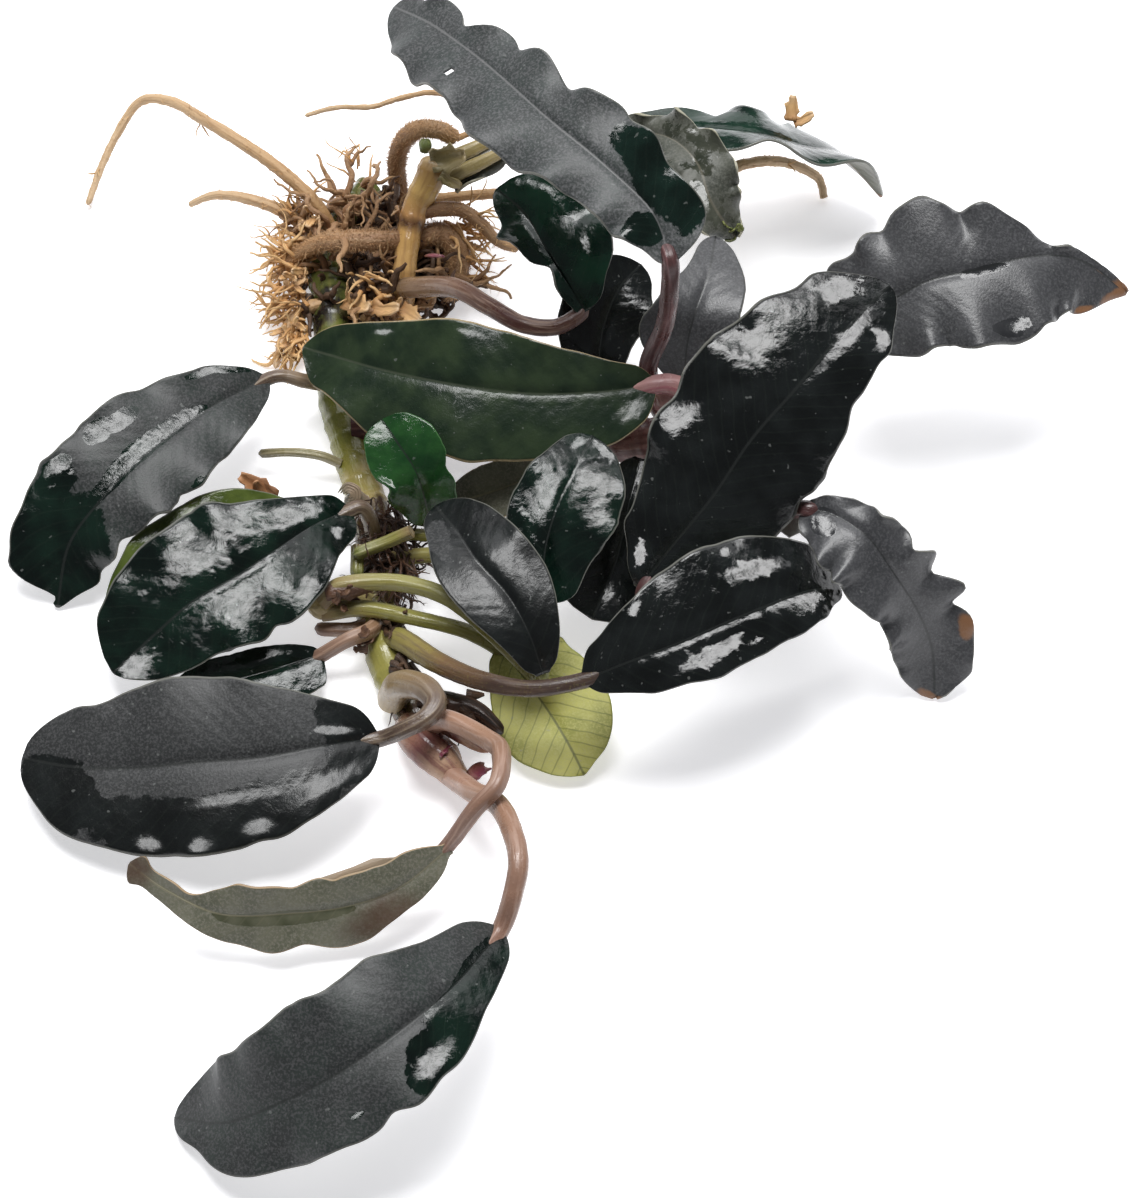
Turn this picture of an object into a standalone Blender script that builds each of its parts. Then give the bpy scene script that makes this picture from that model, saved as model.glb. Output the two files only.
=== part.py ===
"""A bare-root bucephalandra, lying on the table as it was cut.

A creeping rhizome lies along the table from the back to the front, with a side shoot to the
right, a short upright shoot and a tuft of roots at the back. The leaves spread from it on
bent stalks, and each leaf is a wavy blade. Lengths are in millimetres until they reach
Blender. X runs to the right, Y to the back and Z up, and the origin is on the flat underside
of the rhizome, where the plant rests.
"""

import math
from dataclasses import dataclass

import bmesh
import bpy
from mathutils import Vector

MM = 0.001

# Driving dimensions, in millimetres.
BLADE_THICKNESS = 0.8
BLADE_BASE_HALF_WIDTH = 0.8
BLADE_TIP_HALF_WIDTH = 0.4
JOINT_GAP = 0.3
STALK_END_TRIM = 0.8
TABLE_CLEARANCE = 0.05
LEAF_SCAR_SPACING = 6.4
LEAF_SCAR_SWELL = 0.12

# Shares of a blade's length over which its outline closes.
BASE_ROUNDING = 0.06
TIP_ROUNDING = 0.1

# How far the waves of the left margin run ahead of those of the right, in radians.
LEFT_WAVE_LEAD = 2.0

# Lengths of one facet, and how finely a blade and a rod are divided across.
BLADE_ROW_STEP = 3.4
BLADE_COLUMNS = 4
STALK_STEP = 4.0
ROOT_STEP = 3.6
RHIZOME_STEP = 3.2
STALK_SIDES = 1
RHIZOME_SIDES = 3

# The slab that stands for the table, in metres.
TABLE_SIZE = 0.4
TABLE_DEPTH = 0.02

# Parts of a curve's length and metres: the step for its direction, and when two corners are one.
DIRECTION_STEP = 0.01
MERGE_DISTANCE = 1e-6

# Colours as linear red, green and blue, then the roughness.
MATERIALS = {
    "black_leaf": ((0.012, 0.016, 0.014), 0.32),
    "deep_green_leaf": ((0.010, 0.038, 0.020), 0.28),
    "olive_leaf": ((0.032, 0.050, 0.018), 0.38),
    "grey_leaf": ((0.050, 0.056, 0.052), 0.42),
    "bright_green_leaf": ((0.020, 0.105, 0.024), 0.28),
    "yellow_leaf": ((0.300, 0.350, 0.045), 0.45),
    "underside_leaf": ((0.110, 0.115, 0.065), 0.50),
    "red_stalk": ((0.120, 0.035, 0.030), 0.35),
    "tan_stalk": ((0.300, 0.160, 0.095), 0.38),
    "green_stalk": ((0.330, 0.330, 0.060), 0.38),
    "rhizome_skin": ((0.170, 0.170, 0.045), 0.35),
    "dark_rhizome": ((0.055, 0.024, 0.014), 0.40),
    "root_skin": ((0.330, 0.190, 0.085), 0.60),
    "pale_root": ((0.550, 0.380, 0.210), 0.60),
}

UP = (0, -0.45, 1)
AT_VIEWER = (0, -0.8, 0.6)
TO_BACK = (0, 0.5, 0.85)


@dataclass
class Blade:
    """One leaf blade, measured from its stalk to its tip.

    The midrib is a curve through its points. The half-widths are read at even steps along
    it, on the right and on the left as seen from the stalk. The blade looks along facing at
    its stalk and at its tip. Each half rises from flat by fold degrees and bends back by
    droop, and its margin is waved.
    """

    midrib: list
    right: list
    left: list
    colour: str
    facing: tuple = (UP, UP)
    fold: float = 12
    droop: float = 0.02
    waves: float = 5
    wave_height: float = 0.8
    phase: float = 0.0


BLADES = {
    "leaf_crown": Blade(
        midrib=[(36, 7.5, 40), (34, 12.5, 43), (28.5, 18, 45), (21.5, 25.5, 45),
                (14.5, 36, 42), (8, 45.5, 38), (3, 52, 34)],
        right=[2, 3.9, 6, 6.4, 5, 3.6, 2.5],
        left=[2.5, 5.4, 5.6, 7.5, 7.2, 5.8, 2.5],
        colour="black_leaf", waves=7, wave_height=1.1, phase=0.5,
    ),
    "leaf_under_crown": Blade(
        midrib=[(26.2, 18, 17.5), (24.3, 20, 20), (21.5, 24, 22), (19, 28.5, 23), (15.5, 32.5, 23)],
        right=[2, 4.8, 7, 6, 3],
        left=[1, 1.7, 3, 3.2, 1.5],
        colour="deep_green_leaf", waves=3, wave_height=0.6,
    ),
    "leaf_back_right": Blade(
        midrib=[(10, 44, 13.5), (18, 47.5, 15.5), (26.5, 50, 15), (35, 50.5, 14), (41.5, 48, 16),
                (48, 47, 16), (53.5, 46.5, 14), (58.5, 47.5, 11), (63.5, 47, 4)],
        right=[0.9, 0.9, 0.9, 3, 6, 5.5, 6.5, 5, 1.5],
        left=[0.9, 0.9, 0.9, 3, 6, 7, 7.5, 7, 2],
        colour="deep_green_leaf", facing=(TO_BACK, TO_BACK), waves=5, wave_height=0.9,
    ),
    "leaf_curled": Blade(
        midrib=[(10, 41, 13), (18, 44, 16.5), (26, 45.5, 18.5), (33, 44.5, 19.5), (37, 42, 21),
                (40, 38, 21), (41.5, 34, 19), (44.5, 31.5, 15)],
        right=[0.9, 0.9, 0.9, 2, 3.5, 4, 4, 2],
        left=[0.9, 0.9, 0.9, 2, 3.5, 4, 4, 2],
        colour="underside_leaf", waves=5, wave_height=0.8,
    ),
    "leaf_far_right": Blade(
        midrib=[(55.5, 15, 18), (61.5, 16, 21), (67, 17.5, 24), (73, 18.5, 25), (79.5, 20.5, 25),
                (85.5, 21.5, 23), (91.5, 20.5, 18)],
        right=[2.5, 6.6, 8.5, 9.8, 9.8, 6, 1],
        left=[3, 7.5, 10, 7.5, 3.8, 1.2, 1],
        colour="grey_leaf", waves=5, wave_height=1.0,
    ),
    "leaf_centre_tall": Blade(
        midrib=[(32.5, -19, 12), (36, -16.5, 16.5), (41, -12.5, 21.5), (45.5, -7.5, 26),
                (50.5, -3, 29.5), (56, 3.5, 31.5), (62, 11.5, 31)],
        right=[2, 5, 8.5, 9.5, 8, 5.5, 3],
        left=[2, 6, 10, 11.5, 11.5, 8.5, 4],
        colour="black_leaf", fold=2, waves=5, wave_height=0.7,
    ),
    "leaf_right_low": Blade(
        midrib=[(26, -34, 15), (31, -33.5, 18), (37, -31.8, 19.5), (43, -29, 20),
                (48.5, -26, 19.5), (52.5, -22.8, 17), (56, -19.7, 13)],
        right=[1.5, 3.8, 5.5, 5.2, 4.6, 3.6, 2],
        left=[2, 5.4, 8.3, 9.3, 8.8, 7, 4.5],
        colour="black_leaf", fold=4, waves=4, wave_height=0.5,
    ),
    "leaf_right_drooping": Blade(
        midrib=[(51.5, -13, 19.8), (55, -15, 21.3), (59, -18, 21), (62, -20.5, 17.5),
                (65, -22, 12), (67, -23.5, 6), (67.5, -26.5, 0.4)],
        right=[2.5, 5, 6, 6.2, 5, 4.8, 3],
        left=[1, 2.4, 3.8, 4.8, 5.8, 5.2, 2.5],
        colour="grey_leaf", waves=6, wave_height=0.9,
    ),
    "leaf_centre_green": Blade(
        midrib=[(34.5, 5, 20), (28, 4, 20), (19.5, 4.5, 19), (11, 6.5, 18), (2, 11, 15),
                (-4.5, 15.5, 12), (-8, 17.5, 11)],
        right=[2, 4.2, 6.6, 8, 6.6, 4, 1.5],
        left=[3, 7, 8.4, 8.8, 7.2, 3.8, 1.5],
        colour="olive_leaf", waves=4, wave_height=0.5,
    ),
    "leaf_left_upper": Blade(
        midrib=[(-12.5, 15, 8), (-17.5, 9.5, 11), (-22, 5, 12), (-27, 0, 12),
                (-31.5, -4.5, 10), (-35.5, -8.5, 6), (-37, -13.5, 0.4)],
        right=[1.5, 4.4, 6.6, 8.2, 8.2, 7.6, 3],
        left=[1.5, 5, 6.6, 7.2, 6.2, 5.5, 1.5],
        colour="black_leaf", waves=5, wave_height=0.7,
    ),
    "leaf_left_green": Blade(
        midrib=[(-2, -5.5, 9), (-6, -9, 11), (-10.5, -13.5, 12), (-15, -16.5, 11),
                (-20, -19, 9.5), (-24.5, -22, 7), (-29.5, -25.5, 4)],
        right=[2, 4, 7.2, 9.2, 9.2, 8, 3.5],
        left=[3, 5, 8, 8.6, 7.4, 6, 2.5],
        colour="deep_green_leaf", waves=5, wave_height=0.5,
    ),
    "leaf_left_behind": Blade(
        midrib=[(-2.5, -3, 3.5), (-8, -3, 4), (-14, -5.5, 5), (-20, -9, 5), (-25.5, -13.5, 4),
                (-31, -15.5, 2)],
        right=[0.9, 2, 5.6, 6.4, 6, 2],
        left=[0.9, 2, 4, 4, 4, 2],
        colour="olive_leaf", waves=3, wave_height=0.3,
    ),
    "leaf_left_small": Blade(
        midrib=[(-5, -22.5, 3.5), (-9, -24, 3.5), (-14, -25.5, 3.2), (-19, -26.5, 2.5),
                (-24, -28, 1)],
        right=[1, 2.6, 3.1, 2.8, 1],
        left=[3.5, 4.6, 4.6, 4, 1.5],
        colour="deep_green_leaf", waves=2, wave_height=0.2,
    ),
    "leaf_left_broad": Blade(
        midrib=[(2, -38, 9), (-4.5, -40.5, 11), (-11.5, -42, 11), (-19, -42, 10),
                (-26.5, -41.5, 8), (-33.5, -40, 6), (-39.5, -37.5, 4)],
        right=[3, 6.3, 9.2, 10.3, 9.6, 7.5, 4],
        left=[3, 7.2, 10.2, 11.2, 10.2, 8, 4],
        colour="black_leaf", waves=4, wave_height=0.4,
    ),
    "leaf_front_underside": Blade(
        midrib=[(10.5, -53, 9), (5, -57, 7), (-1, -59, 6), (-8, -60, 6), (-15.5, -60, 6),
                (-21.5, -57.5, 7), (-26, -54.5, 8)],
        right=[1, 3.2, 4.2, 3.8, 3.2, 1.5, 1],
        left=[1, 3.5, 4.8, 4.8, 3, 1.6, 1],
        colour="underside_leaf", facing=(AT_VIEWER, AT_VIEWER), waves=4, wave_height=0.5,
    ),
    "leaf_front": Blade(
        midrib=[(16.5, -66, 12), (11.5, -75.5, 16), (5.5, -82, 17), (-1, -86, 15),
                (-7.5, -87.5, 11), (-14, -87, 5.5), (-20, -83.5, 0.4)],
        right=[3, 6.6, 8.8, 9.6, 8.3, 6.4, 2.5],
        left=[2, 5.8, 8, 8, 7.5, 6, 2],
        colour="black_leaf", waves=5, wave_height=0.6,
    ),
    "leaf_young_bright": Blade(
        midrib=[(7.5, -6.5, 8), (7, -6, 13), (6, -4.5, 16), (4, -1.5, 17), (2, 2, 17)],
        right=[1.5, 4, 4.6, 4.4, 2.5],
        left=[1.5, 4, 4.6, 4.4, 2.5],
        colour="bright_green_leaf", waves=2, wave_height=0.3,
    ),
    "leaf_small_black": Blade(
        midrib=[(21.2, -29.8, 10.2), (19.5, -26.5, 14), (17, -22.5, 16), (13.5, -18.5, 17),
                (11, -13.5, 16), (8.5, -8.5, 14)],
        right=[1.5, 4, 5.7, 6.2, 5, 2.5],
        left=[1.5, 3.8, 5.4, 5.2, 3.8, 2],
        colour="black_leaf", waves=2, wave_height=0.2,
    ),
    "leaf_round_glossy": Blade(
        midrib=[(21, -20.5, 11), (21.5, -15, 15), (23, -11, 18), (25, -7, 19.5), (27, -2.2, 19.5)],
        right=[3.5, 6.2, 7.5, 6.5, 2.5],
        left=[2, 5, 5.5, 4.3, 2],
        colour="deep_green_leaf", waves=3, wave_height=0.3,
    ),
    "leaf_yellow": Blade(
        midrib=[(16, -22, 4), (18.5, -25.5, 4), (21.5, -30, 3.5), (24, -34.5, 3), (26, -38.5, 2)],
        right=[1.5, 4.4, 6.8, 6, 2],
        left=[2, 6, 7.4, 6.3, 2],
        colour="yellow_leaf", waves=3, wave_height=0.2,
    ),
    "leaf_dark_lower": Blade(
        midrib=[(32.8, 0, 12), (31.5, -5.5, 11.5), (30.5, -10, 9.5), (29, -14.5, 7.5),
                (27, -19.5, 6.5)],
        right=[1.5, 4, 5, 5.5, 4.5],
        left=[1.5, 3.5, 5, 6, 4],
        colour="black_leaf", waves=2, wave_height=0.3,
    ),
    "leaf_dark_back": Blade(
        midrib=[(27.8, 9.4, 9.8), (28, 16.5, 12.5), (29, 21, 13.5), (30.5, 24.5, 14), (33, 28, 14)],
        right=[1.5, 4, 5, 4.5, 2],
        left=[1.5, 5, 6, 5, 2],
        colour="black_leaf", waves=2, wave_height=0.3,
    ),
    "leaf_grey_back": Blade(
        midrib=[(38, 10, 13.5), (38.5, 14, 16.5), (39.5, 17, 19), (41, 21.5, 20), (42, 27.5, 20)],
        right=[1.5, 5, 5.6, 4.6, 1.5],
        left=[1.5, 6, 5, 3, 1.5],
        colour="grey_leaf", waves=2, wave_height=0.3,
    ),
    "leaf_brown_gap": Blade(
        midrib=[(23, 5, 7.5), (22.5, 1.5, 9), (19.5, -0.5, 9), (16, -1.5, 8), (12.5, -1.5, 6),
                (9.5, -1.5, 4)],
        right=[0.9, 1.5, 3, 3.5, 3, 1.5],
        left=[0.9, 1.5, 3, 3.5, 3, 1.5],
        colour="underside_leaf", waves=2, wave_height=0.2,
    ),
}


@dataclass
class Rod:
    """A stalk, a root or a length of rhizome: a round rod through its points.

    The radii are read at even steps from its first point to its last. A rod that grows from
    other pieces starts inside them and is cut back to a fine gap at their skin.
    """

    route: list
    radii: list
    colour: str
    grows_from: tuple = ("rhizome_main",)


RHIZOME = {
    "rhizome_main": Rod(
        route=[(-1, 50, 1.7), (-3, 46.5, 1.7), (-5.5, 41.5, 1.7), (-6, 37, 1.7), (-5, 32, 1.7),
               (-5, 28, 1.7), (-4.5, 22.5, 1.7), (-4, 16.5, 1.7), (-2.5, 10.5, 1.7),
               (-1, 4, 1.7), (0, 0.5, 1.7), (1, -4.5, 1.7), (1.5, -10.5, 1.7),
               (1.5, -16.5, 1.7), (3, -23, 1.7), (5, -28, 1.7), (7.5, -33, 1.7),
               (11, -37.5, 1.7)],
        radii=[1.8, 2.3, 2.6, 2.4, 2.5, 2.3, 2.6, 2.5, 2.2, 1.8],
        colour="rhizome_skin",
        grows_from=(),
    ),
    "rhizome_side_shoot": Rod(
        route=[(-2, 11, 3), (7.5, 11, 4), (18.5, 9.5, 5), (27, 6, 8), (33, 3.5, 11), (40, 3, 14)],
        radii=[2, 2.2, 2.2, 2.3, 2.6, 2.4],
        colour="red_stalk",
    ),
    "rhizome_upright_shoot": Rod(
        route=[(3.5, 29.5, 2), (4, 31, 5), (4, 33, 8), (5, 38.5, 11), (7, 41.5, 14), (8, 43.5, 16)],
        radii=[1.4, 1.3, 1.4, 1.6, 1.8, 1.9],
        colour="tan_stalk",
    ),
}

STALKS = {
    "stalk_crown": Rod(
        [(37, 4, 12), (34.5, 8.5, 13), (33.8, 10, 17.5), (35.5, 9, 26), (36, 7.5, 34),
         (36, 7.5, 40)],
        [1.3, 1.1, 1.0], "red_stalk", ("rhizome_side_shoot",)),
    "stalk_under_crown": Rod(
        [(4, 30, 7), (10, 24.5, 14), (14.5, 20, 16), (18.5, 16.5, 17), (22.5, 16, 17),
         (25.5, 18, 17)],
        [1.3, 1.1, 0.9], "tan_stalk", ("rhizome_main", "rhizome_upright_shoot")),
    "stalk_far_right": Rod(
        [(40.5, 3.5, 14), (46, 8, 16), (51, 12, 17.5), (55.5, 15, 18)],
        [1.3, 1.1, 1.0], "red_stalk", ("rhizome_side_shoot",)),
    "stalk_centre_tall": Rod(
        [(38, 3, 12), (38.5, -4, 7), (37.5, -12, 6), (36, -17.5, 8), (33, -19.5, 11.5)],
        [1.2, 1.0, 0.9], "red_stalk", ("rhizome_side_shoot",)),
    "stalk_right_low": Rod(
        [(2.5, -19.5, 2), (4.5, -21.5, 5), (9, -27.5, 9), (14, -32, 12), (20, -34.5, 14),
         (26, -34, 15)],
        [1.5, 1.3, 1.0, 0.9], "red_stalk"),
    "stalk_right_drooping": Rod(
        [(40, 2, 13.5), (43.5, -3.5, 14.5), (47.5, -9.5, 15.5), (51.5, -13, 19.8)],
        [1.3, 1.1, 1.0], "red_stalk", ("rhizome_side_shoot",)),
    "stalk_centre_green": Rod(
        [(38, 3.5, 13), (38.5, 4.5, 18.5), (36.5, 5, 20), (34.5, 5, 20)],
        [1.6, 1.3, 1.0], "tan_stalk", ("rhizome_side_shoot",)),
    "stalk_left_upper": Rod(
        [(-5, 18, 3), (-8, 15.5, 7), (-10.5, 15.5, 8), (-12.5, 15, 8)],
        [1.0, 0.8, 0.8], "tan_stalk"),
    "stalk_left_green": Rod(
        [(1, -6, 3), (0.5, -5.5, 7), (-0.5, -5, 9), (-2, -5.5, 9)],
        [1.0, 0.9, 0.8], "green_stalk"),
    "stalk_left_small": Rod(
        [(1.5, -17.5, 3), (0.5, -20.3, 5.2), (-2, -21.8, 5.5), (-5, -22.5, 3.5)],
        [1.1, 0.9, 0.8], "tan_stalk"),
    "stalk_left_broad": Rod(
        [(3.5, -28.5, 3), (5, -29.5, 8), (8.5, -32.5, 11), (10, -35, 12), (8.5, -37, 12),
         (5.5, -38, 11), (2.5, -38, 9)],
        [2.2, 2.0, 1.4, 1.0, 0.9], "tan_stalk"),
    "stalk_front_underside": Rod(
        [(7, -33, 3), (10, -35.5, 9), (15.5, -41, 12.5), (16.5, -44.5, 15), (16, -49, 16),
         (13.5, -51, 14), (10.5, -52.5, 9)],
        [1.3, 1.1, 0.9], "tan_stalk"),
    "stalk_front": Rod(
        [(10, -38.5, 2.5), (13, -45, 8.5), (16.5, -50.3, 13), (18.5, -58.5, 16.5), (18, -62.8, 15),
         (16.5, -66, 12)],
        [1.4, 1.2, 1.0], "tan_stalk"),
    "stalk_young_bright": Rod(
        [(0.5, -6.5, 3), (5, -6.5, 5.5), (7.5, -7.3, 6.5), (7.5, -6.5, 8)],
        [0.8, 0.7, 0.6], "green_stalk"),
    "stalk_small_black": Rod(
        [(-5, -17, 6.5), (-2.5, -16, 8.5), (4, -16, 9), (10, -18.5, 9.5), (15.5, -23.5, 9),
         (19.5, -27.5, 8), (21, -29.5, 8.8)],
        [1.1, 1.0, 0.9], "green_stalk", ("sheath_left",)),
    "stalk_round_glossy": Rod(
        [(2, -8.5, 3), (9, -10, 6), (16, -14, 7), (21, -20.5, 11)],
        [1.0, 0.9, 0.8], "green_stalk"),
    "stalk_yellow": Rod(
        [(-5, -17.5, 5), (0, -17.5, 5.8), (6, -19, 6), (12, -20.5, 5.5), (16, -22, 4)],
        [1.1, 0.9, 1.0], "green_stalk", ("sheath_left",)),
    "stalk_grey_back": Rod(
        [(39, 4, 13), (39, 7, 13.5), (38, 10, 13.5)],
        [1.1, 0.9, 0.8], "red_stalk", ("rhizome_side_shoot",)),
}

SHEATHS = {
    "sheath_left": Rod(
        [(1, -14, 2.5), (-3, -15.5, 4.5), (-6.5, -17.5, 6)], [1.5, 1.8, 1.6], "tan_stalk"),
}

STUBS = {
    "stub_yellow": Rod(
        [(-3.5, 6, 3), (-6, 6.5, 4), (-9.5, 7, 4), (-13.5, 7.5, 3)], [0.6, 0.55, 0.55],
        "green_stalk"),
    "stub_green": Rod(
        [(5.5, -8.8, 9.5), (2.5, -9.3, 8), (-1.5, -10.5, 7)], [0.8, 0.8, 0.8], "green_stalk"),
    "stub_short": Rod([(-1, -8.5, 6), (-1, -12.5, 5)], [0.8, 0.8], "green_stalk"),
    "stub_red": Rod(
        [(0.5, -17.5, 2.5), (-1.5, -18.5, 3), (-3.5, -18.5, 3), (-6, -18, 2.5)], [1, 0.9, 0.8],
        "red_stalk"),
    "stub_decayed": Rod(
        [(7, -29, 3.5), (10.5, -30.5, 4.5), (13.5, -31.5, 4.5), (16.5, -34, 4)], [1.4, 1.6, 1.3, 0.7],
        "dark_rhizome"),
}

ROOTS = {
    "root_arch": Rod(
        [(3, 46.5, 4), (2.5, 48.5, 9), (3.5, 49, 13), (5.5, 48, 17), (8.5, 47, 18), (10, 47.5, 16)],
        [1.1, 1.1, 1.0], "root_skin"),
    "root_brown": Rod(
        [(4.5, 36, 9), (1, 35, 10), (-3, 35, 10), (-7, 36, 8), (-11, 36.5, 4)],
        [1.2, 1.2, 0.9], "root_skin", ("rhizome_upright_shoot",)),
    "root_long": Rod(
        [(-5, 40.5, 4), (-7, 42, 8), (-10.5, 45, 10), (-15, 48.5, 11), (-22, 54, 11),
         (-26, 57.5, 10), (-30, 59, 8), (-33, 56, 5), (-35, 52, 3), (-36.5, 48, 1)],
        [0.9, 0.8, 0.6, 0.4], "pale_root"),
    "root_second": Rod(
        [(-5.5, 40, 3), (-11, 42.5, 6), (-15.5, 44, 7), (-20, 45.5, 6), (-23.5, 45.5, 4)],
        [0.9, 0.7, 0.4], "pale_root"),
    "root_thin": Rod([(2, 50.8, 11), (0, 54.5, 10), (-4.5, 56, 10), (-9, 56, 9)],
                     [0.5, 0.4, 0.35], "pale_root", ()),
    "root_middle": Rod(
        [(4.5, 36.5, 8), (8, 38, 7.5), (10, 37, 6.5), (10.5, 35, 5), (9.5, 31.5, 2.5)],
        [1.2, 1.6, 1.5, 1.2], "root_skin", ("rhizome_upright_shoot",)),
    "root_right": Rod(
        [(5.5, 38.8, 11), (10.5, 39.2, 11), (13.5, 37.5, 10), (15.5, 36, 8.5), (18, 36, 7)],
        [1.0, 0.8, 0.5], "root_skin", ("rhizome_upright_shoot",)),
    "root_left_down": Rod([(-5, 31, 3), (-9, 29.5, 3), (-11, 26.5, 2), (-12, 22, 1)],
                          [0.9, 0.7, 0.4], "pale_root"),
    "root_back_right": Rod(
        [(-3, 46.5, 2), (7, 46.5, 4), (20, 45.5, 7), (31, 45, 9), (41.5, 45.5, 9), (46, 48, 9),
         (51, 50.5, 6.5), (55.5, 51, 3), (56.5, 49.5, 0.5)],
        [0.8, 0.6, 0.7, 0.5], "pale_root"),
}


def catmull_rom(values, position):
    """Read a smooth curve through the values, with position from 0 at the first to 1 at the last."""
    spans = len(values) - 1
    span = min(int(position * spans), spans - 1)
    part = position * spans - span
    here = values[span]
    after = values[span + 1]
    before = values[span - 1] if span > 0 else here * 2 - after
    beyond = values[span + 2] if span + 2 <= spans else after * 2 - here
    return 0.5 * (
        here * 2
        + (after - before) * part
        + (before * 2 - here * 5 + after * 4 - beyond) * part ** 2
        + (here * 3 - before - after * 3 + beyond) * part ** 3
    )


def route_length(points):
    """Add up the straight distances between the points."""
    return sum((b - a).length for a, b in zip(points, points[1:]))


def end_rounding(along):
    """Close the outline like a quarter circle at the stalk and at the tip."""
    from_base = min(along / BASE_ROUNDING, 1.0)
    from_tip = min((1 - along) / TIP_ROUNDING, 1.0)
    return math.sqrt(from_base * (2 - from_base)) * math.sqrt(from_tip * (2 - from_tip))


def blade_point(blade, along, across):
    """Give a point of the blade, along from 0 to 1 and across from -1 (left) to 1 (right)."""
    midrib = [Vector(p) for p in blade.midrib]
    centre = catmull_rom(midrib, along)
    ahead = catmull_rom(midrib, min(along + DIRECTION_STEP, 1.0))
    behind = catmull_rom(midrib, max(along - DIRECTION_STEP, 0.0))
    forward = (ahead - behind).normalized()
    facing = Vector(blade.facing[0]).lerp(Vector(blade.facing[1]), along)
    sideways = forward.cross(facing).normalized()
    outward = sideways.cross(forward)
    stations = blade.right if across > 0 else blade.left
    half_width = catmull_rom(stations, along) * end_rounding(along)
    narrowest = BLADE_BASE_HALF_WIDTH + (BLADE_TIP_HALF_WIDTH - BLADE_BASE_HALF_WIDTH) * along
    half_width = max(half_width, narrowest)
    reach = abs(across)
    tilt = math.radians(blade.fold)
    side_phase = blade.phase + (0.0 if across > 0 else LEFT_WAVE_LEAD)
    wave = math.sin(math.tau * blade.waves * along + side_phase) * math.sin(math.pi * along)
    rise = (
        half_width * reach * math.sin(tilt)
        - blade.droop * (half_width * reach) ** 2
        + blade.wave_height * reach ** 2 * wave
    )
    place = centre + sideways * across * half_width * math.cos(tilt) + outward * rise
    place.z = max(place.z, TABLE_CLEARANCE + BLADE_THICKNESS / 2)
    return place


def add_object(name, data, colour, collection):
    """Put new data in the collection as a named object with its own material."""
    colour_value, roughness = MATERIALS[colour]
    material = bpy.data.materials.new(name + "_skin")
    material.use_nodes = True
    shader = material.node_tree.nodes["Principled BSDF"]
    shader.inputs["Base Color"].default_value = (*colour_value, 1)
    shader.inputs["Roughness"].default_value = roughness
    shader.inputs["Metallic"].default_value = 0.0
    data.materials.append(material)
    made = bpy.data.objects.new(name, data)
    collection.objects.link(made)
    return made


def make_blade(name, blade, collection):
    """Bend a flat grid to the blade's surface and give it thickness."""
    length = route_length([Vector(p) for p in blade.midrib])
    rows = max(6, round(length / BLADE_ROW_STEP))
    shape = bmesh.new()
    bmesh.ops.create_grid(shape, x_segments=rows, y_segments=BLADE_COLUMNS, size=0.5)
    base = Vector(blade.midrib[0])
    for vert in shape.verts:
        along = min(max(vert.co.x + 0.5, 0.0), 1.0)
        across = min(max(vert.co.y * 2, -1.0), 1.0)
        vert.co = (blade_point(blade, along, across) - base) * MM
    mesh = bpy.data.meshes.new(name)
    shape.to_mesh(mesh)
    shape.free()
    mesh.shade_smooth()
    made = add_object(name, mesh, blade.colour, collection)
    made.location = base * MM
    shell = made.modifiers.new("thickness", "SOLIDIFY")
    shell.thickness = BLADE_THICKNESS * MM
    shell.offset = 0.0
    return made


def make_rod(name, rod, step, sides, collection, swell=None, extra=0.0, trim_end=0.0):
    """Sweep a circle along the rod's route and return it as a closed mesh object."""
    route = [Vector(p) for p in rod.route]
    length = route_length(route)
    count = max(3, round(length / step) + 1)
    start = route[0]
    last = 1.0 - trim_end / length
    curve = bpy.data.curves.new(name, "CURVE")
    curve.dimensions = "3D"
    curve.bevel_depth = MM
    curve.bevel_resolution = sides
    curve.use_fill_caps = True
    spline = curve.splines.new("POLY")
    spline.points.add(count - 1)
    for index, point in enumerate(spline.points):
        along = last * index / (count - 1)
        place = (catmull_rom(route, along) - start) * MM
        radius = catmull_rom(rod.radii, along) + extra
        if swell:
            radius += swell(along * length)
        else:
            place.z = max(place.z, (radius + TABLE_CLEARANCE - start.z) * MM)
        point.co = (*place, 1)
        point.radius = radius
    swept = bpy.data.objects.new(name + "_sweep", curve)
    collection.objects.link(swept)
    swept.location = start * MM
    bpy.context.view_layer.update()
    ready = swept.evaluated_get(bpy.context.evaluated_depsgraph_get())
    mesh = bpy.data.meshes.new_from_object(ready)
    shape = bmesh.new()
    shape.from_mesh(mesh)
    bmesh.ops.remove_doubles(shape, verts=shape.verts, dist=MERGE_DISTANCE)
    shape.to_mesh(mesh)
    shape.free()
    mesh.materials.clear()
    made = add_object(name, mesh, rod.colour, collection)
    made.matrix_world = swept.matrix_world.copy()
    bpy.data.objects.remove(swept)
    mesh.shade_smooth()
    return made


def leaf_scars(distance):
    """Swell the rhizome a little at each old leaf scar."""
    return LEAF_SCAR_SWELL * math.cos(math.tau * distance / LEAF_SCAR_SPACING)


def cut(target, cutter):
    """Take the cutter's shape away from the target."""
    boolean = target.modifiers.new("cut_" + cutter.name, "BOOLEAN")
    boolean.operation = "DIFFERENCE"
    boolean.solver = "EXACT"
    boolean.object = cutter


def trim_to_parents(piece, rod, grown):
    """Cut a piece back to a fine gap from each piece it grows from."""
    for parent in rod.grows_from:
        cut(piece, grown[parent])


def make_parent_cutter(name, rod, collection):
    """Make a copy of a rod that is fatter by the gap, for cutting what grows from it."""
    swell = leaf_scars if name in RHIZOME else None
    step = RHIZOME_STEP if name in RHIZOME else STALK_STEP
    sides = RHIZOME_SIDES if name in RHIZOME else STALK_SIDES
    cutter = make_rod(name + "_cutter", rod, step, sides, collection, swell, extra=JOINT_GAP)
    hide_cutter(cutter)
    return cutter


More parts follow.
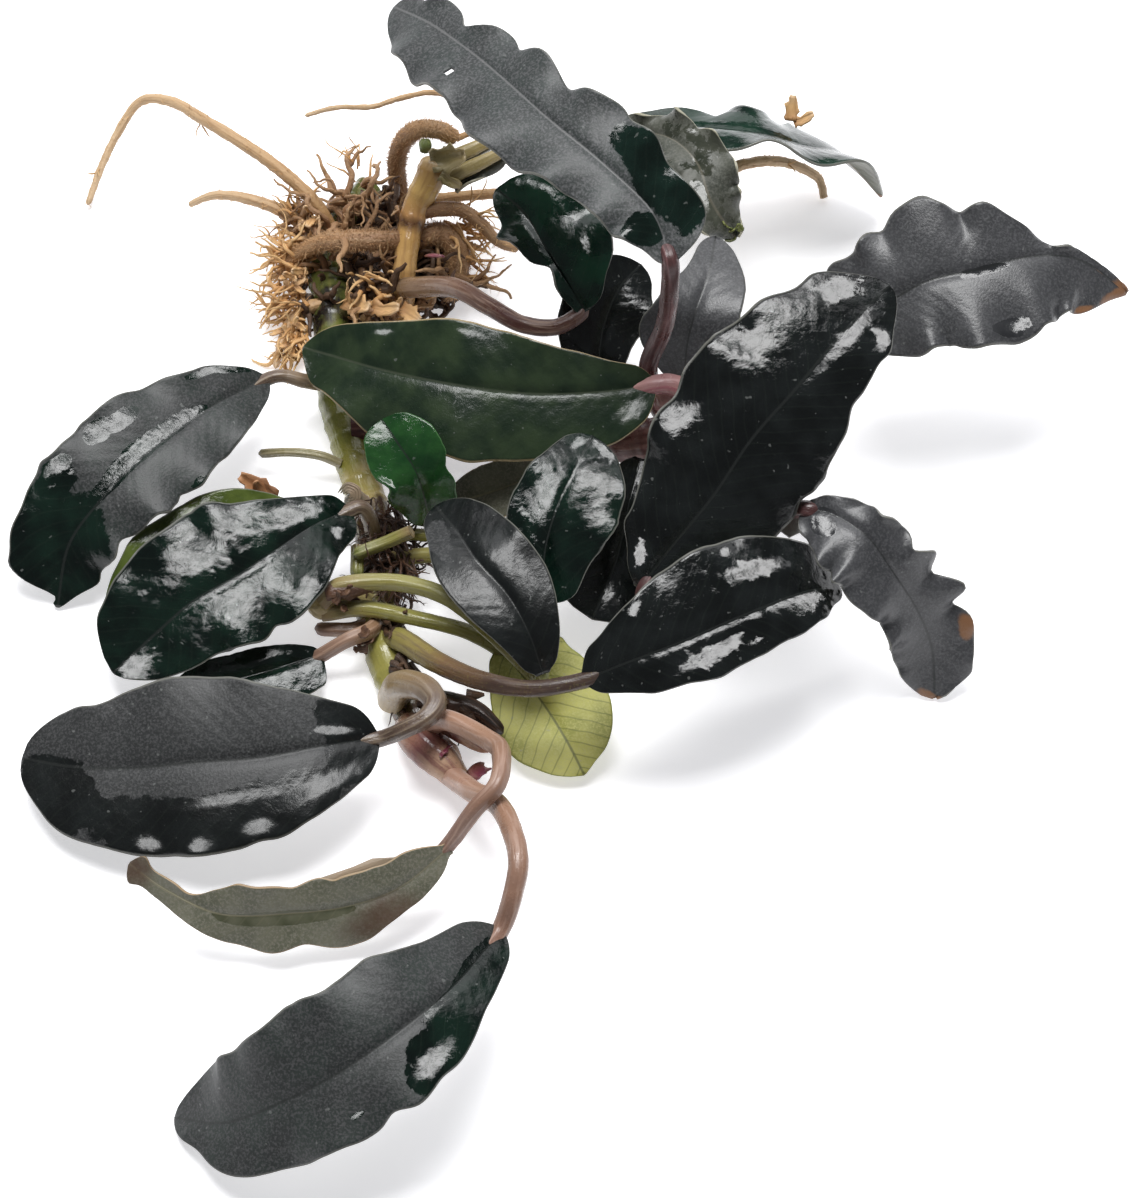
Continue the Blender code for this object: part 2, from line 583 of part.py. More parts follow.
def hide_cutter(cutter):
    """Show a cutter as wire only."""
    cutter.hide_render = True
    cutter.display_type = "WIRE"


def make_table_cutter(collection):
    """Make the slab below the table top, which flattens the underside of the rhizome."""
    bpy.ops.mesh.primitive_cube_add(size=1)
    slab = bpy.context.active_object
    slab.name = "table_cutter"
    slab.dimensions = (TABLE_SIZE, TABLE_SIZE, TABLE_DEPTH)
    slab.location = (0, 0, -TABLE_DEPTH / 2)
    for home in list(slab.users_collection):
        home.objects.unlink(slab)
    collection.objects.link(slab)
    hide_cutter(slab)
    return slab


def clear_scene():
    """Remove whatever the scene holds at the start."""
    for thing in list(bpy.data.objects):
        bpy.data.objects.remove(thing)


def main():
    """Build the whole plant."""
    clear_scene()
    plant = bpy.data.collections.new("bucephalandra")
    cutters = bpy.data.collections.new("cutters")
    bpy.context.scene.collection.children.link(plant)
    bpy.context.scene.collection.children.link(cutters)

    table = make_table_cutter(cutters)
    grown = {}
    for name, rod in RHIZOME.items():
        piece = make_rod(name, rod, RHIZOME_STEP, RHIZOME_SIDES, plant, swell=leaf_scars)
        trim_to_parents(piece, rod, grown)
        if name == "rhizome_main":
            cut(piece, table)
        grown[name] = make_parent_cutter(name, rod, cutters)
    for name, rod in SHEATHS.items():
        piece = make_rod(name, rod, STALK_STEP, STALK_SIDES, plant)
        trim_to_parents(piece, rod, grown)
        grown[name] = make_parent_cutter(name, rod, cutters)
    for name, rod in STALKS.items():
        piece = make_rod(name, rod, STALK_STEP, STALK_SIDES, plant, trim_end=STALK_END_TRIM)
        trim_to_parents(piece, rod, grown)
    for name, rod in {**STUBS, **ROOTS}.items():
        piece = make_rod(name, rod, ROOT_STEP, STALK_SIDES, plant)
        trim_to_parents(piece, rod, grown)
    for name, blade in BLADES.items():
        make_blade(name, blade, plant)


main()
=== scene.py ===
# %% [markdown]
# # A bare-root bucephalandra
#
# Bucephalandra is a small water plant from river rocks. It creeps on a rhizome as thick as a
# pencil lead, grips stone with brown roots, and holds leathery leaves on bent stalks. This
# lesson dresses the plain solids of one clump: the solids give the places, and each cell here
# grows one kind of piece finely enough to be seen close up.
#
# The plain solids are loaded first. They stay for weight and collision, and every fine piece
# below takes the place of one of them.

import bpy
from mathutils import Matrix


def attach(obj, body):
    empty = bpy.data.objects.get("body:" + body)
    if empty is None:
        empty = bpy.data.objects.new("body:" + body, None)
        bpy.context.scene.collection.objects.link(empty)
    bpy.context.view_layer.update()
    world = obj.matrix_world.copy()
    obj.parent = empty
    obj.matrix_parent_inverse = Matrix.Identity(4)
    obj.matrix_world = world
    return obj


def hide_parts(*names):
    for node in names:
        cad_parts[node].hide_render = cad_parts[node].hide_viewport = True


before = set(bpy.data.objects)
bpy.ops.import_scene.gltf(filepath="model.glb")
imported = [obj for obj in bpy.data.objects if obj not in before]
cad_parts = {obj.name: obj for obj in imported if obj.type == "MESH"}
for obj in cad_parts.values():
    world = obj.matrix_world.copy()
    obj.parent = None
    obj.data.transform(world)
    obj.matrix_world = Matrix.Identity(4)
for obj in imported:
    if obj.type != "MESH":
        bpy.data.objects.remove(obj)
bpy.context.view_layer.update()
print("plain solids:", len(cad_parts))

# %% [markdown]
# ## Tools and units
#
# Lengths are written in millimetres and turned into metres where they reach Blender. A curve
# through a few points (a Catmull-Rom curve) is the one piece of mathematics that everything
# here shares: it passes through each point and bends smoothly between them.

# %% Units and the smooth curve
import math
import random
from dataclasses import dataclass

import bmesh
import bpy
from mathutils import Vector, noise

MM = 0.001


def catmull_rom(values, position):
    """Read a smooth curve through the values, from 0 at the first to 1 at the last."""
    spans = len(values) - 1
    span = min(int(position * spans), spans - 1)
    part = position * spans - span
    here = values[span]
    after = values[span + 1]
    before = values[span - 1] if span > 0 else here * 2 - after
    beyond = values[span + 2] if span + 2 <= spans else after * 2 - here
    return 0.5 * (
        here * 2
        + (after - before) * part
        + (before * 2 - here * 5 + after * 4 - beyond) * part ** 2
        + (here * 3 - before - after * 3 + beyond) * part ** 3
    )


def route_length(points):
    """Add up the straight distances between the points."""
    return sum((b - a).length for a, b in zip(points, points[1:]))


def put_in_scene(name, data):
    """Make an object of a mesh, curve, light or camera and put it in the scene."""
    thing = bpy.data.objects.new(name, data)
    bpy.context.scene.collection.objects.link(thing)
    return thing


print("one millimetre is", MM, "of Blender's metres")

# %% [markdown]
# ## Camera
#
# The clump was photographed from above and in front, so the camera looks down at 55 degrees. A
# long lens from 650 mm away keeps the near and far leaves at the same scale, as a product
# photograph does. The lens is worked out from the height of table that fills the picture.

# %% Camera
CAMERA_ELEVATION = math.radians(55)
CAMERA_DISTANCE = 650 * MM
LOOK_AT = Vector((24, -12, 0)) * MM
PICTURE_HEIGHT = 1198 * 0.12 * MM
SENSOR = 36

camera_data = bpy.data.cameras.new("table_camera")
camera_data.sensor_width = SENSOR
camera_data.lens = SENSOR * CAMERA_DISTANCE / PICTURE_HEIGHT
camera_data.clip_start = 0.01
camera = put_in_scene("table_camera", camera_data)
towards_viewer = Vector((0, -math.cos(CAMERA_ELEVATION), math.sin(CAMERA_ELEVATION)))
camera.location = LOOK_AT + towards_viewer * CAMERA_DISTANCE
camera.rotation_euler = (math.radians(90) - CAMERA_ELEVATION, 0, 0)
bpy.context.scene.camera = camera
print("lens of", round(camera_data.lens), "mm")

# %% [markdown]
# ## Table
#
# The table is a plain white sheet, lit until it is pure white. It also glows a little by
# itself, though it is no lamp: this painted light keeps the shadows pale.

# %% Table
TABLE_SIZE = 3.0
TABLE_WHITE = (0.86, 0.86, 0.87)
TABLE_GLOW_TINT = (0.97, 0.97, 1.0)
TABLE_GLOW = 0.50

bpy.ops.mesh.primitive_plane_add(size=TABLE_SIZE)
table = bpy.context.active_object
table.name = "table_top"
table_paint = bpy.data.materials.new("table_paint")
table_paint.use_nodes = True
table_shader = table_paint.node_tree.nodes["Principled BSDF"]
table_shader.inputs["Base Color"].default_value = (*TABLE_WHITE, 1)
table_shader.inputs["Roughness"].default_value = 0.9
table_shader.inputs["Specular IOR Level"].default_value = 0.1
# Painted light: the table's own glow lightens the shadows on it.
table_shader.inputs["Emission Color"].default_value = (*TABLE_GLOW_TINT, 1)
table_shader.inputs["Emission Strength"].default_value = TABLE_GLOW
table.data.materials.append(table_paint)
print("the table glows by", TABLE_GLOW)

# %% [markdown]
# ## Light
#
# A bright window hangs nearly overhead, and wet leaves flash white where they mirror it. A wide
# panel behind the plant is weaker and softens the shadows. The room itself is kept dim, so
# leaves that mirror the room look black.

# %% Light panels
def hang_panel(name, size, place, watts, colour):
    """Hang a light panel that faces the plant."""
    data = bpy.data.lights.new(name, "AREA")
    data.shape = "RECTANGLE"
    data.size, data.size_y = size
    data.energy = watts
    data.color = colour
    panel = put_in_scene(name, data)
    panel.location = place
    panel.rotation_euler = (LOOK_AT - Vector(place)).to_track_quat("-Z", "Y").to_euler()
    return panel


ROOM_COLOUR = (0.95, 0.96, 1.0)
ROOM_BRIGHTNESS = 0.17
WINDOW_PLACE = (-0.02, 0.14, 0.80)

hang_panel("bright_window", (0.46, 0.34), WINDOW_PLACE, 7.4, (1.0, 1.0, 1.0))
hang_panel("wide_panel", (1.7, 1.0), (0.10, 0.85, 1.05), 10.0, (0.98, 0.98, 1.0))
room = bpy.data.worlds.new("dim_room")
room.use_nodes = True
room.node_tree.nodes["Background"].inputs["Color"].default_value = (*ROOM_COLOUR, 1)
room.node_tree.nodes["Background"].inputs["Strength"].default_value = ROOM_BRIGHTNESS
bpy.context.scene.world = room
bpy.context.scene.view_settings.view_transform = "Standard"

# %% [markdown]
# ## A short way to build trees of nodes
#
# Every finish below is a tree of shader nodes, and the stems and hairs further down are grown
# by trees of geometry nodes. Writing each node and link in full would bury what they are made
# of, so a small class keeps the tree and gives each step of arithmetic one short call.

# %% Tree builder
class TreeBuilder:
    """Short ways to add steps to any tree of nodes."""

    def feed(self, socket, value):
        """Link an output to a socket, or set the socket to a number or a colour."""
        if isinstance(value, bpy.types.NodeSocket):
            self.tree.links.new(value, socket)
        elif isinstance(value, tuple) and len(value) == 3 and socket.type == "RGBA":
            socket.default_value = (*value, 1)
        else:
            socket.default_value = value

    def sum_up(self, kind, operation, values):
        """Add one step of arithmetic and feed it."""
        node = self.tree.nodes.new(kind)
        node.operation = operation
        for socket, value in zip(node.inputs, values):
            self.feed(socket, value)
        return node

    def math(self, operation, *values):
        """One step of arithmetic."""
        return self.sum_up("ShaderNodeMath", operation, values).outputs[0]

    def vector(self, operation, *values, scale=None):
        """One step of arithmetic on vectors."""
        node = self.sum_up("ShaderNodeVectorMath", operation, values)
        if scale is not None:
            self.feed(node.inputs["Scale"], scale)
        return node.outputs["Vector"]


print("tree builder ready")

# %% [markdown]
# ## A short way to write a finish
#
# A finish is built from a few things that a painter would ask for: a value that the mesh keeps,
# cloudy noise, a smooth step, a blend, bands of colour and a fine relief. Patterns are measured
# in metres on the object, or on kept values, so they stay on the plant from every side.

# %% Finish builder
class Finish(TreeBuilder):
    """A material under construction."""

    def __init__(self, name):
        self.material = bpy.data.materials.new(name)
        self.material.use_nodes = True
        self.tree = self.material.node_tree
        self.shader = self.tree.nodes["Principled BSDF"]
        places = self.tree.nodes.new("ShaderNodeTexCoord")
        self.here = places.outputs["Object"]

    def kept(self, name):
        """Read a value that the mesh keeps at each point."""
        reader = self.tree.nodes.new("ShaderNodeAttribute")
        reader.attribute_name = name
        return reader

    def split(self, vector):
        """The three parts of a vector."""
        parts = self.tree.nodes.new("ShaderNodeSeparateXYZ")
        self.feed(parts.inputs[0], vector)
        return parts.outputs

    def join(self, x, y, z):
        """A vector from three parts."""
        parts = self.tree.nodes.new("ShaderNodeCombineXYZ")
        for socket, value in zip(parts.inputs, (x, y, z)):
            self.feed(socket, value)
        return parts.outputs[0]

    def noise(self, vector, size, detail=2.0, roughness=0.5, twist=0.0):
        """Cloudy noise with spots about size across, in the vector's own units."""
        cloud = self.tree.nodes.new("ShaderNodeTexNoise")
        self.feed(cloud.inputs["Vector"], vector)
        cloud.inputs["Scale"].default_value = 1 / size
        cloud.inputs["Detail"].default_value = detail
        cloud.inputs["Roughness"].default_value = roughness
        cloud.inputs["Distortion"].default_value = twist
        return cloud.outputs["Fac"]

    def step(self, value, low, high):
        """Rise smoothly from 0 where the value is low to 1 where it is high."""
        rise = self.tree.nodes.new("ShaderNodeMapRange")
        rise.interpolation_type = "SMOOTHSTEP"
        self.feed(rise.inputs["Value"], value)
        rise.inputs["From Min"].default_value = min(low, high)
        rise.inputs["From Max"].default_value = max(low, high)
        rise.inputs["To Min"].default_value = 0.0 if low < high else 1.0
        rise.inputs["To Max"].default_value = 1.0 if low < high else 0.0
        return rise.outputs["Result"]

    def blend(self, share, first, second):
        """Mix two numbers or two colours."""
        mix = self.tree.nodes.new("ShaderNodeMix")
        plain = not isinstance(first, tuple) and not isinstance(second, tuple)
        sockets = [s for s in (first, second) if isinstance(s, bpy.types.NodeSocket)]
        if plain and not any(s.type == "RGBA" for s in sockets):
            mix.data_type = "FLOAT"
            ends = (mix.inputs[2], mix.inputs[3])
            result = mix.outputs[0]
        else:
            mix.data_type = "RGBA"
            ends = (mix.inputs[6], mix.inputs[7])
            result = mix.outputs[2]
        self.feed(mix.inputs[0], share)
        self.feed(ends[0], first)
        self.feed(ends[1], second)
        return result

    def bands(self, value, stops):
        """Colours along a value, as (place, colour) stops."""
        ramp = self.tree.nodes.new("ShaderNodeValToRGB")
        self.feed(ramp.inputs[0], value)
        elements = ramp.color_ramp.elements
        while len(elements) < len(stops):
            elements.new(1.0)
        for element, (place, colour) in zip(elements, stops):
            element.position = place
            element.color = (*colour, 1)
        return ramp.outputs["Color"]

    def relief(self, height, depth, under=None):
        """Small bumps, depth metres from lowest to highest, on top of an earlier relief."""
        bump = self.tree.nodes.new("ShaderNodeBump")
        bump.inputs["Distance"].default_value = depth
        self.feed(bump.inputs["Height"], height)
        if under is not None:
            self.feed(bump.inputs["Normal"], under)
        return bump.outputs["Normal"]

    def leaned(self, lean, share):
        """The true direction of the surface, leaned over by a share of a kept direction."""
        upright = self.tree.nodes.new("ShaderNodeNewGeometry").outputs["Normal"]
        tilted = self.vector("ADD", upright, self.vector("SCALE", lean, scale=share))
        return self.vector("NORMALIZE", tilted)

    def done(self, colour, roughness, normal=None, **constants):
        """Plug the finished patterns into the shader."""
        self.feed(self.shader.inputs["Base Color"], colour)
        self.feed(self.shader.inputs["Roughness"], roughness)
        if normal is not None:
            self.feed(self.shader.inputs["Normal"], normal)
        for name, value in constants.items():
            self.shader.inputs[name.replace("_", " ")].default_value = value
        return self.material


print("finish builder ready")

# %% [markdown]
# ## Leaf skin
#
# A bucephalandra leaf is leathery and nearly black. Where it is dry, it carries a grey bloom
# like fine meal, which scatters the light; its grey also stands in for a painted sheen, the
# broad reflection such a leaf shows. Where water lies on it, the film fills the meal: the skin
# turns dark and mirrors the light panels in sharp, torn flashes. So the finish is two skins,
# dry and wet, and a ragged line between them. Faint side veins run forward from the midrib,
# which lies in a groove drawn on most leaves as a dark line of painted shade, and the margin is
# a thin pale line, partly its own colour and partly a painted highlight on the rim.
#
# The finish reads four things that each blade keeps at its points: its place on the leaf in
# millimetres, how wet it is there, which way the water film leans, and how brown it is. One
# function makes all the leaf finishes from a short list of colours, because the leaves differ
# in colour and not in structure.

# %% Leaf skin
@dataclass
class LeafLook:
    """The colours of one kind of leaf, wet and dry."""

    dark: tuple
    light: tuple
    # dry: the grey of the meal, which also stands in for a painted sheen
    dry: tuple = (0.058, 0.059, 0.060)
    vein: tuple = (0.03, 0.04, 0.03)
    vein_share: float = 0.10
    # midrib: by default a dark line of painted shade in the midrib's groove
    midrib: tuple = (0.018, 0.020, 0.019)
    # margin: partly the margin's own pale colour, partly a painted highlight on the rim
    margin: tuple = (0.17, 0.17, 0.15)
    brown: tuple = (0.20, 0.10, 0.05)
    dust: tuple = (0.22, 0.23, 0.22)
    dry_roughness: float = 0.52
    wet_roughness: float = 0.10
    chop: float = 0.05
    rot_blur: float = 0.0


VEIN_STEP = 1.9
VEIN_SLANT = 0.95
POOL_SHARE = 0.9
TORN_SHARE = 0.7
WATERLINE = (1.06, 1.14)
DUST_LIMITS = (0.73, 0.79)


def leaf_skin(name, look):
    """Make the finish of one side of a kind of leaf."""
    skin = Finish(name)
    across, along, edge = skin.split(skin.kept("place").outputs["Vector"])
    clouds = skin.noise(skin.here, 4.5 * MM, detail=3)
    meal = skin.noise(skin.here, 0.30 * MM, detail=2, roughness=0.65)
    ripples = skin.noise(skin.here, 1.7 * MM, detail=3, roughness=0.6)
    torn = skin.noise(skin.here, 1.1 * MM, detail=5, roughness=0.72, twist=0.6)

    pools = skin.noise(skin.here, 5.5 * MM, detail=2)
    film = skin.math("ADD", skin.kept("wet").outputs["Fac"],
                     skin.math("MULTIPLY", pools, POOL_SHARE))
    film = skin.math("ADD", film, skin.math("MULTIPLY", torn, TORN_SHARE))
    wetness = skin.step(film, *WATERLINE)

    flesh = skin.blend(skin.step(clouds, 0.35, 0.68), look.dark, look.light)
    speckle = skin.math("ADD", skin.math("MULTIPLY", skin.step(meal, 0.42, 0.66), 0.62), 0.32)
    # The grey bloom is partly the meal's own colour and partly a painted sheen.
    meal_and_painted_sheen = skin.blend(speckle, flesh, look.dry)
    colour = skin.blend(wetness, meal_and_painted_sheen, flesh)
    dust = skin.noise(skin.here, 0.75 * MM, detail=1)
    specks = skin.math("MULTIPLY", skin.step(dust, *DUST_LIMITS), 0.35)
    colour = skin.blend(specks, colour, look.dust)

    side = skin.math("ABSOLUTE", across)
    climb = skin.math("SUBTRACT", along, skin.math("MULTIPLY", side, VEIN_SLANT))
    climb = skin.math("ADD", climb, skin.math("MULTIPLY", pools, 1.6))
    ridge = skin.math("COSINE", skin.math("MULTIPLY", climb, math.tau / VEIN_STEP))
    veins = skin.math("MULTIPLY", skin.step(ridge, 0.88, 1.0), look.vein_share)
    colour = skin.blend(veins, colour, look.vein)
    # The midrib line: on most leaves painted shade in the groove, on a few a pale midrib.
    rib = skin.math("MULTIPLY", skin.step(side, 0.30, 0.08), 0.7)
    colour = skin.blend(rib, colour, look.midrib)
    # The pale margin line is partly the margin's own colour and partly a painted highlight on the
    # rim.
    margin = skin.math("MULTIPLY", skin.step(edge, 0.965, 0.992), 0.8)
    colour = skin.blend(margin, colour, look.margin)

    rot = skin.math("ADD", skin.kept("brown").outputs["Fac"], skin.math("MULTIPLY", torn, 0.5))
    decay = skin.step(rot, 0.50, 0.95 + look.rot_blur)
    colour = skin.blend(decay, colour, look.brown)

    mealy = skin.blend(skin.step(meal, 0.3, 0.7), look.dry_roughness - 0.08, look.dry_roughness)
    roughness = skin.blend(wetness, mealy, look.wet_roughness)
    grains = skin.blend(skin.math("MULTIPLY", wetness, 0.85), meal, 0.5)
    normal = skin.leaned(skin.kept("lean").outputs["Vector"], wetness)
    normal = skin.relief(ridge, 0.004 * MM, under=normal)
    normal = skin.relief(skin.blend(wetness, 0.5, ripples), 0.09 * MM, under=normal)
    normal = skin.relief(skin.blend(wetness, 0.5, torn), look.chop * MM, under=normal)
    normal = skin.relief(grains, 0.035 * MM, under=normal)
    return skin.done(colour, roughness, normal, Specular_IOR_Level=0.40)


print("side veins every", VEIN_STEP, "mm")

# %% [markdown]
# ## Kinds of leaf
#
# Old leaves in the light are nearly black, shaded ones are deep green or olive, the youngest is
# bright green, a dying one is yellow, and undersides are dull olive with a pale midrib. Each
# kind is a short list of colours for the same finish, with a different shine where it needs one.

# %% Kinds of leaf
LEAF_LOOKS = {
    "black_leaf": LeafLook(dark=(0.003, 0.004, 0.004), light=(0.008, 0.010, 0.010)),
    # The crown leaf's brighter grey is a painted sheen.
    "crown_leaf": LeafLook(dark=(0.002, 0.007, 0.005), light=(0.006, 0.018, 0.013),
                           dry=(0.094, 0.095, 0.098), midrib=(0.14, 0.14, 0.14)),
    "green_black_leaf": LeafLook(dark=(0.001, 0.004, 0.003), light=(0.004, 0.014, 0.009),
                                 chop=0.07),
    "satin_leaf": LeafLook(dark=(0.003, 0.004, 0.004), light=(0.007, 0.009, 0.009),
                           wet_roughness=0.30),
    "light_green_leaf": LeafLook(dark=(0.035, 0.055, 0.008), light=(0.085, 0.115, 0.024),
                                 dry=(0.09, 0.11, 0.04), midrib=(0.10, 0.12, 0.04)),
    "curled_leaf": LeafLook(dark=(0.018, 0.024, 0.016), light=(0.062, 0.066, 0.050),
                            dry=(0.100, 0.102, 0.086), margin=(0.42, 0.40, 0.30),
                            brown=(0.13, 0.085, 0.055), midrib=(0.14, 0.13, 0.10)),
    "deep_green_leaf": LeafLook(dark=(0.002, 0.011, 0.007), light=(0.006, 0.028, 0.016),
                                dry=(0.04, 0.06, 0.05)),
    "olive_leaf": LeafLook(dark=(0.008, 0.018, 0.009), light=(0.024, 0.040, 0.018),
                           dry=(0.034, 0.042, 0.026), margin=(0.42, 0.32, 0.18),
                           midrib=(0.05, 0.06, 0.04), wet_roughness=0.26),
    "grey_leaf": LeafLook(dark=(0.020, 0.021, 0.023), light=(0.040, 0.041, 0.044),
                          dry=(0.075, 0.076, 0.080), dry_roughness=0.36),
    "bright_green_leaf": LeafLook(dark=(0.006, 0.034, 0.009), light=(0.020, 0.078, 0.018),
                                  dry=(0.04, 0.085, 0.04), margin=(0.07, 0.17, 0.06)),
    "yellow_leaf": LeafLook(dark=(0.190, 0.205, 0.028), light=(0.410, 0.395, 0.085),
                            dry=(0.36, 0.35, 0.11), vein=(0.075, 0.090, 0.014),
                            vein_share=0.5, midrib=(0.05, 0.06, 0.015),
                            margin=(0.20, 0.22, 0.06), dry_roughness=0.62,
                            wet_roughness=0.45),
    "underside_leaf": LeafLook(dark=(0.050, 0.056, 0.030), light=(0.120, 0.120, 0.080),
                               dry=(0.170, 0.165, 0.130), vein=(0.24, 0.21, 0.14),
                               midrib=(0.24, 0.22, 0.14), margin=(0.40, 0.28, 0.16),
                               brown=(0.066, 0.034, 0.021), wet_roughness=0.25,
                               rot_blur=0.6),
}
UNDERSIDE = LeafLook(dark=(0.050, 0.055, 0.035), light=(0.110, 0.115, 0.078),
                     dry=(0.150, 0.150, 0.120), vein=(0.16, 0.15, 0.10),
                     midrib=(0.22, 0.16, 0.11), wet_roughness=0.3)

skins = {name: leaf_skin(name + "_skin", look) for name, look in LEAF_LOOKS.items()}
skins["underside"] = leaf_skin("leaf_underside_skin", UNDERSIDE)
print("leaf finishes:", sorted(skins))

# %% [markdown]
# ## The leaves' measurements
#
# Each leaf is written down as a gardener would press it: the line of its midrib, its
# half-widths to the right and left at even steps from stalk to tip, where it faces, how far its
# halves fold up and droop, and how its margin waves. The numbers are those of the plain solids,
# so each fine leaf lies where its solid does.

# %% Leaf measurements
UP = (0, -0.45, 1)
AT_VIEWER = (0, -0.8, 0.6)
TO_BACK = (0, 0.5, 0.85)


@dataclass
class Blade:
    """One leaf blade, measured from its stalk to its tip."""

    midrib: list
    right: list
    left: list
    colour: str
    facing: tuple = (UP, UP)
    fold: float = 12
    droop: float = 0.02
    waves: float = 5
    wave_height: float = 0.8
    phase: float = 0.0


